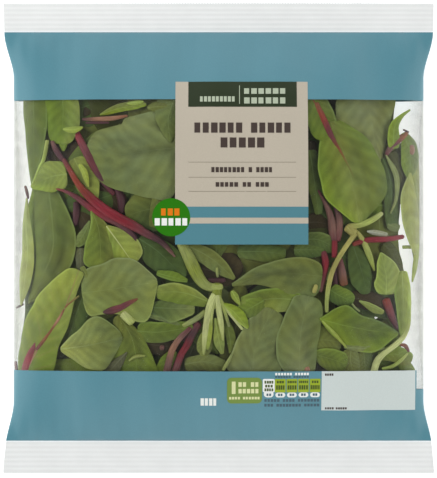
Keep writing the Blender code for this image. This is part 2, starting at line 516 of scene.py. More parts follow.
def crimped_seal():
    """Two films welded between ribbed jaws: opaque white, softly satin, with painted shade a little greyer
    in the pressed grooves. The fine cross-hatch of the jaws is 0.5 mm apart."""
    made, tree = new_material("heat_sealed_white_film")
    place = add(tree, "TexCoord").outputs["Object"]
    ink = add(tree, "Attribute", attribute_name="ink").outputs["Color"]
    cloud = surface_noise(tree, place, 90.0, 3.0)
    dim = add(tree, "MapRange", {1: 0.3, 2: 0.7, 3: 0.965, 4: 1.0}, {0: cloud})
    tone = add(tree, "VectorMath", None, {0: ink, 1: dim.outputs[0]}, operation="MULTIPLY")
    hatch = add(
        tree, "TexWave", {"Scale": 320.0, "Distortion": 0.6}, {"Vector": place}, bands_direction="X"
    )
    bump = add(tree, "Bump", {"Strength": 0.15, "Distance": 0.0001}, {"Height": hatch.outputs["Fac"]})
    values = {"Roughness": 0.42, "IOR": 1.49}
    shader = add(tree, "BsdfPrincipled", values, {"Base Color": tone.outputs[0], "Normal": bump.outputs[0]})
    add(tree, "OutputMaterial", None, {"Surface": shader.outputs[0]})
    return made


def label_inks():
    """Flexographic inks laid over each other on the film: matt fields with a faint grain 0.5 mm across,
    under the film's own low sheen. Each field brings its own ink."""
    made, tree = new_material("flexo_label_inks")
    place = add(tree, "TexCoord").outputs["Object"]
    ink = add(tree, "Attribute", attribute_name="ink").outputs["Color"]
    grain = surface_noise(tree, place, 1900.0)
    dim = add(tree, "MapRange", {1: 0.3, 2: 0.7, 3: 0.96, 4: 1.03}, {0: grain})
    tone = add(tree, "VectorMath", None, {0: ink, 1: dim.outputs[0]}, operation="MULTIPLY")
    wide = surface_noise(tree, place, 35.0)
    bump = add(tree, "Bump", {"Strength": 0.1, "Distance": 0.0004}, {"Height": wide})
    values = {"Roughness": 0.45, "IOR": 1.45}
    shader = add(tree, "BsdfPrincipled", values, {"Base Color": tone.outputs[0], "Normal": bump.outputs[0]})
    add(tree, "OutputMaterial", None, {"Surface": shader.outputs[0]})
    return made


def leaf_blade():
    """Fresh leaf with a waxy skin: satin, mottled by cells a few tenths of a millimetre across and by
    cloudy patches of 8 mm, warmer in patches of 13 mm, with a lighter midrib, side veins that sink a
    little between raised fields, and a painted highlight, a pale rim along the lit thin edges."""
    made, tree = new_material("fresh_leaf_blade")
    place = add(tree, "TexCoord").outputs["Object"]
    tint = add(tree, "Attribute", attribute_name="tint").outputs["Color"]
    rib_tint = add(tree, "Attribute", attribute_name="rib_tint").outputs["Color"]
    rib_place = add(tree, "Attribute", attribute_name="rib_place").outputs["Fac"]
    vein_place = add(tree, "Attribute", attribute_name="vein_place").outputs["Fac"]
    vein_force = add(tree, "Attribute", attribute_name="vein_force").outputs["Fac"]
    cloud = surface_noise(tree, place, 120.0, 3.0)
    drift = surface_noise(tree, place, 75.0, 2.0, (1.0, 1.0, 2.0))
    cell = surface_noise(tree, place, 1400.0, 2.0)
    patch = add(tree, "MapRange", {1: 0.3, 2: 0.7, 3: 0.86, 4: 1.14}, {0: cloud})
    speck = add(tree, "MapRange", {1: 0.3, 2: 0.7, 3: 0.93, 4: 1.07}, {0: cell})
    mottle = add(tree, "Math", None, {0: patch.outputs[0], 1: speck.outputs[0]}, operation="MULTIPLY")
    wander = add(tree, "MapRange", {3: -1.3, 4: 1.3}, {0: cloud})
    bent = add(tree, "Math", None, {0: vein_place, 1: wander.outputs[0]}, operation="ADD")
    wave = add(tree, "Math", None, {0: bent.outputs[0]}, operation="SINE")
    field = add(tree, "MapRange", {1: -1.0, 2: 1.0, 3: 0.92, 4: 1.07}, {0: wave.outputs[0]})
    tone = add(tree, "Math", None, {0: mottle.outputs[0], 1: field.outputs[0]}, operation="MULTIPLY")
    warm = add(tree, "VectorMath", {1: (1.09, 1.02, 0.78)}, {0: tint}, operation="MULTIPLY")
    turn = add(tree, "MapRange", {1: 0.35, 2: 0.65}, {0: drift})
    hue = add(tree, "Mix", None, {0: turn.outputs[0], 6: tint, 7: warm.outputs[0]}, data_type="RGBA")
    blade = add(tree, "VectorMath", None, {0: hue.outputs[2], 1: tone.outputs[0]}, operation="MULTIPLY")
    vein = add(
        tree,
        "MapRange",
        {1: 0.86, 2: 1.0, 3: 0.0, 4: 1.0},
        {0: wave.outputs[0]},
        interpolation_type="SMOOTHSTEP",
    )
    shown = add(tree, "Math", None, {0: vein.outputs[0], 1: vein_force}, operation="MULTIPLY")
    rib = add(
        tree, "MapRange", {1: 1.0, 2: 0.4, 3: 0.0, 4: 1.0}, {0: rib_place}, interpolation_type="SMOOTHSTEP"
    )
    veined = add(
        tree, "Mix", None, {0: shown.outputs[0], 6: blade.outputs[0], 7: rib_tint}, data_type="RGBA"
    )
    ribbed = add(
        tree, "Mix", None, {0: rib.outputs[0], 6: veined.outputs[2], 7: rib_tint}, data_type="RGBA"
    )
    sunk = add(tree, "Math", {1: -0.55}, {0: shown.outputs[0]}, operation="MULTIPLY")
    fine = add(tree, "Math", {1: 0.16}, {0: cell}, operation="MULTIPLY")
    height = add(tree, "Math", None, {0: sunk.outputs[0], 1: fine.outputs[0]}, operation="ADD")
    bump = add(tree, "Bump", {"Strength": 0.5, "Distance": 0.0005}, {"Height": height.outputs[0]})
    rough = add(tree, "MapRange", {1: 0.3, 2: 0.7, 3: 0.42, 4: 0.58}, {0: cloud})
    # Painted highlight: near a lit thin edge the colour mixes toward a lighter copy of the tint
    edge_place = add(tree, "Attribute", attribute_name="edge_place").outputs["Fac"]
    rim = add(
        tree, "MapRange", {1: 1.5, 2: 0.2, 3: 0.0, 4: 0.6}, {0: edge_place}, interpolation_type="SMOOTHSTEP"
    )
    lit = add(tree, "VectorMath", {1: (1.5,) * 3, 2: (0.03,) * 3}, {0: tint}, operation="MULTIPLY_ADD")
    rim_highlighted = add(
        tree, "Mix", None, {0: rim.outputs[0], 6: ribbed.outputs[2], 7: lit.outputs[0]}, data_type="RGBA"
    )
    links = {"Base Color": rim_highlighted.outputs[2], "Normal": bump.outputs[0], "Roughness": rough.outputs[0]}
    shader = add(tree, "BsdfPrincipled", {"IOR": 1.42}, links)
    add(tree, "OutputMaterial", None, {"Surface": shader.outputs[0]})
    return made


def stalk_flesh(name):
    """Juicy stalk: a smooth wet skin over long fibres about 0.5 mm wide, which show as fine streaks."""
    made, tree = new_material(name)
    place = add(tree, "TexCoord")
    tint = add(tree, "Attribute", attribute_name="tint").outputs["Color"]
    fibre = surface_noise(tree, place.outputs["UV"], 9.0, 3.0, (4.0, 0.35, 1.0))
    cloud = surface_noise(tree, place.outputs["Object"], 140.0)
    streak = add(tree, "MapRange", {1: 0.3, 2: 0.7, 3: 0.74, 4: 1.22}, {0: fibre})
    patch = add(tree, "MapRange", {1: 0.3, 2: 0.7, 3: 0.9, 4: 1.1}, {0: cloud})
    both = add(tree, "Math", None, {0: streak.outputs[0], 1: patch.outputs[0]}, operation="MULTIPLY")
    tone = add(tree, "VectorMath", None, {0: tint, 1: both.outputs[0]}, operation="MULTIPLY")
    bump = add(tree, "Bump", {"Strength": 0.35, "Distance": 0.0003}, {"Height": fibre})
    links = {"Base Color": tone.outputs[0], "Normal": bump.outputs[0]}
    shader = add(tree, "BsdfPrincipled", {"Roughness": 0.36, "IOR": 1.42}, links)
    add(tree, "OutputMaterial", None, {"Surface": shader.outputs[0]})
    return made


def painted_floor(colour, glow):
    """White sweep table lit from below: an even pale ground with no pattern of its own."""
    made, tree = new_material("white_sweep_table")
    place = add(tree, "TexCoord").outputs["Object"]
    cloud = surface_noise(tree, place, 3.0)
    tone = add(tree, "MapRange", {3: 0.99, 4: 1.0}, {0: cloud})
    base = add(tree, "VectorMath", {1: colour}, {0: tone.outputs[0]}, operation="MULTIPLY")
    values = {"Roughness": 0.8, "Emission Color": (1, 1, 1, 1), "Emission Strength": glow}
    shader = add(tree, "BsdfPrincipled", values, {"Base Color": base.outputs[0]})
    add(tree, "OutputMaterial", None, {"Surface": shader.outputs[0]})
    return made


# ---------------------------------------------------------------- film, seals and print

FILM_COLUMNS = 190
FILM_STEP = 1.75


def steps_between(places, step):
    """Even steps of about the given size between each two places in turn, with every place kept."""
    runs = [
        np.linspace(a, b, max(1, round(abs(b - a) / step)) + 1)[1:] for a, b in zip(places, places[1:])
    ]
    return np.concatenate([[places[0]], *runs])


def film_front(x, y, crease_height):
    """The front sheet with its creases, which print and seals follow too."""
    return front_level(x, y) + creases(x, y, crease_height)


def build_film(film):
    """The body of the bag: front and back sheets on one grid, rows along the length and columns at s =
    -cos(t), closed at the side folds and, inside the seals, at both ends. Faces in the bands take the
    printed film."""
    rows = steps_between(
        [BOTTOM_ROOT, film.notch_bottom, film.window_bottom, film.window_top, TOP_ROOT], FILM_STEP
    )
    notch = film.notch_edge / (WAIST_WIDTH / 2)
    across = np.sort(np.append(-np.cos(np.pi * np.arange(FILM_COLUMNS + 1) / FILM_COLUMNS), notch))
    y, s = np.meshgrid(rows, across, indexing="ij")
    x = s * half_width(y)
    top = np.stack([x, y, film_front(x, y, film.crease_height)], axis=-1)
    back = back_level(x, y) + np.clip(creases(x, y, film.crease_height), 0, None)
    bottom = np.stack([x, y, back], axis=-1)
    points, faces = closed_sheet(top, bottom)
    slots = []
    for corners in faces:
        middle = points[corners].mean(axis=1)
        banded = (middle[:, 1] > film.window_top) | (middle[:, 1] < film.window_bottom)
        notched = (middle[:, 0] > film.notch_edge) & (middle[:, 1] > film.notch_bottom)
        slots.append(np.where(banded & ~(notched & (middle[:, 1] < 0)), 1, 0))
    inward = (half_width(points[:, 1]) - np.abs(points[:, 0])) / FOLD_VEIL_WIDTH
    veil = FOLD_VEIL * np.clip(1 - inward, 0, 1) ** 1.5
    heap = Heap()
    heap.add(points, faces, slots, fold_veil=veil)
    make_piece("film_body", heap, [clear_film(film.haze), printed_film(film.band)], 60.0)


def build_seal(film, name, root, cut):
    """A welded end: both sheets corrugated together by z = h cos(2 pi d / pitch), d being the distance
    from the root, and a cut edge of small teeth."""
    length = abs(cut - root)
    fine = steps_between([0.0, film.margin_width, film.margin_width + 0.05, length], 0.36)
    teeth = int(round(CUT_EDGE_WIDTH / film.tooth_pitch)) * 2
    s = np.linspace(-1, 1, teeth + 1)
    away = fine if cut > root else fine[::-1]
    d, across = np.meshgrid(away, s, indexing="ij")
    along = root + np.sign(cut - root) * d
    x = across * half_width(along)
    edge = np.clip(1 - (length - d) / 1.2, 0, 1)
    tooth = np.abs((np.arange(teeth + 1) % 2) - 1)[None, :]
    y = along - np.sign(cut - root) * film.tooth_depth * tooth * edge
    rise = np.clip(d / 0.8, 0, 1) * film.rib_height * np.cos(2 * np.pi * d / film.rib_pitch)
    level = middle_level(x, along) + rise
    top = np.stack([x, y, level + SEAL_THICKNESS / 2], axis=-1)
    bottom = np.stack([x, y, level - SEAL_THICKNESS / 2], axis=-1)
    points, faces = closed_sheet(top, bottom)
    # Painted shade: the seal's white is up to 5% darker down in each crimp groove
    groove = 0.5 - 0.5 * np.cos(2 * np.pi * d / film.rib_pitch)
    plain = np.array(film.seal) * (1 - 0.05 * groove[..., None])
    ink = np.where((d < film.margin_width + 0.01)[..., None], np.array(film.margin), plain).reshape(-1, 3)
    heap = Heap()
    heap.add(points, faces, ink=np.concatenate([ink, ink]))
    make_piece(
        name, heap, [bpy.data.materials.get("heat_sealed_white_film") or crimped_seal()], 60.0
    )


SEAM_HALF_WIDTH = 6.0


def build_back_seam(film):
    """The lap seam that closes the tube: a flat strip under the back film, from root to root."""
    y, x = np.meshgrid(
        steps_between([BOTTOM_ROOT + 1, TOP_ROOT - 1], 2.0),
        np.linspace(-SEAM_HALF_WIDTH, SEAM_HALF_WIDTH, 7),
        indexing="ij",
    )
    under = back_level(x, y) - 0.08
    heap = Heap()
    heap.add(*closed_sheet(np.stack([x, y, under], axis=-1), np.stack([x, y, under - 0.2], axis=-1)))
    make_piece("back_seam", heap, [printed_film(film.band)])


Field = namedtuple("Field", "left right bottom top layer ink corner", defaults=(0.0,))

# Label fields, in millimetres from the middle of the bag, lowest layer first
LABEL_FIELDS = (
    Field(-24.5, 50.5, -3.5, 88.9, 1, "paper"),
    Field(-17.2, 44.3, 74.4, 88.9, 2, "header"),
    Field(11.6, 12.0, 76.1, 86.7, 3, "header_ink"),
    Field(-17.0, 43.6, 42.75, 43.05, 2, "rule"),
    Field(-17.0, 43.6, 34.2, 34.5, 2, "rule"),
    Field(-17.0, 43.6, 26.25, 26.55, 2, "rule"),
    Field(-24.5, 50.5, 11.6, 17.8, 2, "stripe"),
    Field(-24.5, 50.5, -3.5, 8.3, 2, "stripe"),
    Field(-37.4, -16.0, 1.1, 22.5, 3, "roundel", 10.7),
)

# Fields below the window
PANEL_FIELDS = (
    Field(4.7, 24.6, -94.0, -79.0, 1, "badge", 2.6),
    Field(7.4, 9.6, -88.4, -81.2, 2, "badge_ink", 0.4),
    Field(25.0, 31.8, -87.5, -79.7, 1, "white", 0.8),
    Field(31.9, 38.0, -87.5, -79.7, 1, "cell"),
    Field(38.5, 44.6, -87.5, -79.7, 1, "cell"),
    Field(45.1, 51.2, -87.5, -79.7, 1, "cell"),
    Field(51.7, 57.8, -87.5, -79.7, 1, "cell"),
    Field(25.6, 31.2, -90.4, -86.6, 1, "white", 1.9),
    Field(32.2, 37.8, -90.4, -87.6, 1, "white", 1.4),
    Field(38.8, 44.4, -90.4, -87.6, 1, "white", 1.4),
    Field(45.4, 51.0, -90.4, -87.6, 1, "white", 1.4),
    Field(52.0, 57.6, -90.4, -87.6, 1, "white", 1.4),
    Field(58.5, 112.4, -98.1, -75.4, 1, "panel"),
)

Marks = namedtuple("Marks", "left right bottom top layer ink words", defaults=((5,),))

# Rows of plain letter-sized blocks where small print goes. words gives how many blocks stand in each group
LABEL_MARKS = (
    Marks(-13.7, 40.8, 59.6, 65.4, 3, "title", (6, 5)),
    Marks(1.1, 25.7, 51.2, 56.9, 3, "title", (5,)),
    Marks(-4.1, 30.2, 37.2, 40.1, 3, "title", (8, 1, 4)),
    Marks(-1.7, 28.2, 29.0, 31.6, 3, "title", (5, 2, 3)),
    Marks(14.4, 37.9, 81.9, 85.1, 3, "header_ink", (6,)),
    Marks(14.4, 37.9, 76.3, 79.8, 3, "header_ink", (6,)),
    Marks(-10.6, 9.2, 77.4, 80.4, 3, "header_ink", (9,)),
    Marks(-32.4, -22.0, 12.8, 16.8, 5, "roundel_mark", (3,)),
    Marks(-36.0, -17.4, 7.2, 11.3, 5, "white", (5,)),
)
PANEL_MARKS = (
    Marks(-10.3, -1.2, -95.2, -90.9, 1, "white", (4,)),
    Marks(11.2, 22.7, -84.3, -81.6, 2, "badge_ink", (2, 2)),
    Marks(11.2, 22.7, -88.1, -85.5, 2, "badge_ink", (5,)),
    Marks(5.9, 23.3, -91.6, -90.1, 2, "badge_ink", (4, 6)),
    Marks(32.0, 51.2, -77.6, -76.2, 1, "white", (6, 5)),
    Marks(32.0, 51.2, -79.1, -78.0, 1, "note_ink", (6, 6)),
    Marks(26.0, 31.0, -82.4, -80.8, 2, "cell_ink", (4,)),
    Marks(26.4, 30.6, -84.6, -83.1, 2, "cell_ink", (3,)),
    Marks(26.0, 31.0, -86.8, -85.2, 2, "cell_ink", (4,)),
    Marks(33.0, 37.0, -82.2, -80.8, 2, "cell_ink", (3,)),
    Marks(32.6, 37.4, -85.9, -83.4, 2, "cell_ink", (4,)),
    Marks(39.1, 44.1, -82.2, -80.8, 2, "cell_ink", (5,)),
    Marks(39.1, 44.1, -85.9, -83.4, 2, "cell_ink", (4,)),
    Marks(45.7, 50.7, -82.2, -80.8, 2, "cell_ink", (5,)),
    Marks(45.7, 50.7, -85.9, -83.4, 2, "cell_ink", (4,)),
    Marks(52.9, 56.7, -82.2, -80.8, 2, "cell_ink", (3,)),
    Marks(52.2, 57.4, -85.9, -83.4, 2, "cell_ink", (5,)),
    Marks(27.2, 29.8, -89.6, -88.2, 2, "note_ink", (2,)),
    Marks(33.7, 36.3, -89.6, -88.2, 2, "note_ink", (2,)),
    Marks(40.3, 42.9, -89.6, -88.2, 2, "note_ink", (2,)),
    Marks(46.9, 49.5, -89.6, -88.2, 2, "note_ink", (2,)),
    Marks(53.5, 56.1, -89.6, -88.2, 2, "note_ink", (2,)),
    Marks(26.0, 57.3, -93.0, -91.4, 1, "note_ink", (5, 4, 7)),
    Marks(26.0, 57.3, -95.8, -94.2, 1, "note_ink", (3, 8, 5)),
    Marks(60.3, 65.1, -78.0, -76.7, 2, "title", (4,)),
    Marks(60.6, 72.9, -97.5, -96.3, 2, "title", (4, 5)),
)


def field_grid(field, step=2.0):
    """Grid of a field's outline: each row spans the width less c - sqrt(c^2 - d^2) at rounded corners of
    radius c, d being how far the row is inside the corner."""
    corner = field.corner
    if corner:
        turn = np.cos(np.linspace(0, np.pi / 2, max(4, int(corner * 1.6)) + 1))
        ends = corner * (1 - turn[::-1])[::-1]
        lower = field.bottom + np.sort(ends)
        upper = field.top - np.sort(ends)[::-1]
        middle = steps_between([lower[-1], upper[0]], step)[1:-1] if upper[0] - lower[-1] > 1e-6 else []
        start = 1 if upper[0] - lower[-1] < 1e-6 else 0
        rows = np.concatenate([lower, middle, upper[start:]])
    else:
        rows = steps_between([field.bottom, field.top], step)
    inside = np.clip(corner - np.minimum(rows - field.bottom, field.top - rows), 0, corner)
    cut = corner - np.sqrt(np.maximum(corner**2 - inside**2, 0))
    half = np.maximum((field.right - field.left) / 2 - cut, 0.02)
    columns = max(1, int(np.ceil((field.right - field.left) / step)))
    across = np.linspace(-1, 1, columns + 1)
    x = (field.left + field.right) / 2 + half[:, None] * across[None, :]
    y = np.broadcast_to(rows[:, None], x.shape)
    return x, y


def lay_ink(heap, x, y, layer, ink, lift, crease_height):
    """A thin closed slab of ink that follows the film."""
    under = film_front(x, y, crease_height)
    top = np.stack([x, y, under + 0.04 + lift * layer], axis=-1)
    bottom = np.stack([x, y, under + 0.03], axis=-1)
    points, faces = closed_sheet(top, bottom)
    heap.add(points, faces, ink=np.broadcast_to(np.array(ink), (len(points), 3)))


def lay_marks(heap, marks, ink, lift, crease_height, random):
    """A row of letter-sized blocks of one height, with a gap between them and a wider one between groups.
    Their widths vary a little."""
    letters = sum(marks.words)
    gaps = len(marks.words) - 1
    pitch = (marks.right - marks.left) / (letters + 0.8 * gaps - 0.22)
    place = marks.left
    for group in marks.words:
        for _ in range(group):
            width = pitch * random.uniform(0.68, 0.8)
            middle = (marks.bottom + marks.top) / 2
            x, y = np.meshgrid([place, place + width], [marks.bottom, middle, marks.top], indexing="xy")
            lay_ink(heap, x, y, marks.layer, ink, lift, crease_height)
            place += pitch
        place += 0.8 * pitch


def build_print(film, inks, name, fields, rows, seed):
    """One piece of print: its fields, then its rows of marks."""
    heap = Heap()
    for field in fields:
        x, y = field_grid(field)
        lay_ink(heap, x, y, field.layer, getattr(inks, field.ink), inks.lift, film.crease_height)
    random = np.random.default_rng(seed)
    for marks in rows:
        lay_marks(heap, marks, getattr(inks, marks.ink), inks.lift, film.crease_height, random)
    make_piece(name, heap, [bpy.data.materials.get("flexo_label_inks") or label_inks()])


# ---------------------------------------------------------------- leaves and stalks

# A leaf: kind, tints, depth of its top under the film from base to tip, the line from base to tip, and how
# far the blade reaches to the left and to the right of that line, all in millimetres and evenly spaced.
# tints are one name, or left to right, or left to right at the base and then at the tip. rib names the
# midrib's tint. The edge highlight, painted on the thin edge, is -1 left, 1 right, 2 both. Each crease is
# (place across at its start, place across at its end, start along, end along, strength).
Leaf = namedtuple("Leaf", "kind tints depth path left right rib rim creases", defaults=(None, 0, ()))

# What a kind gives its leaves: side veins, how strong they show, ruffle of the edge, rib and rib width
Kind = namedtuple("Kind", "veins vein_force ruffle rib rib_width")
KINDS = {
    "spinach": Kind(6, 0.16, 0.25, "green", 0.8),
    "chard": Kind(7, 0.26, 0.4, "green", 1.3),
    "lettuce": Kind(5, 0.12, 0.15, "green", 0.9),
}

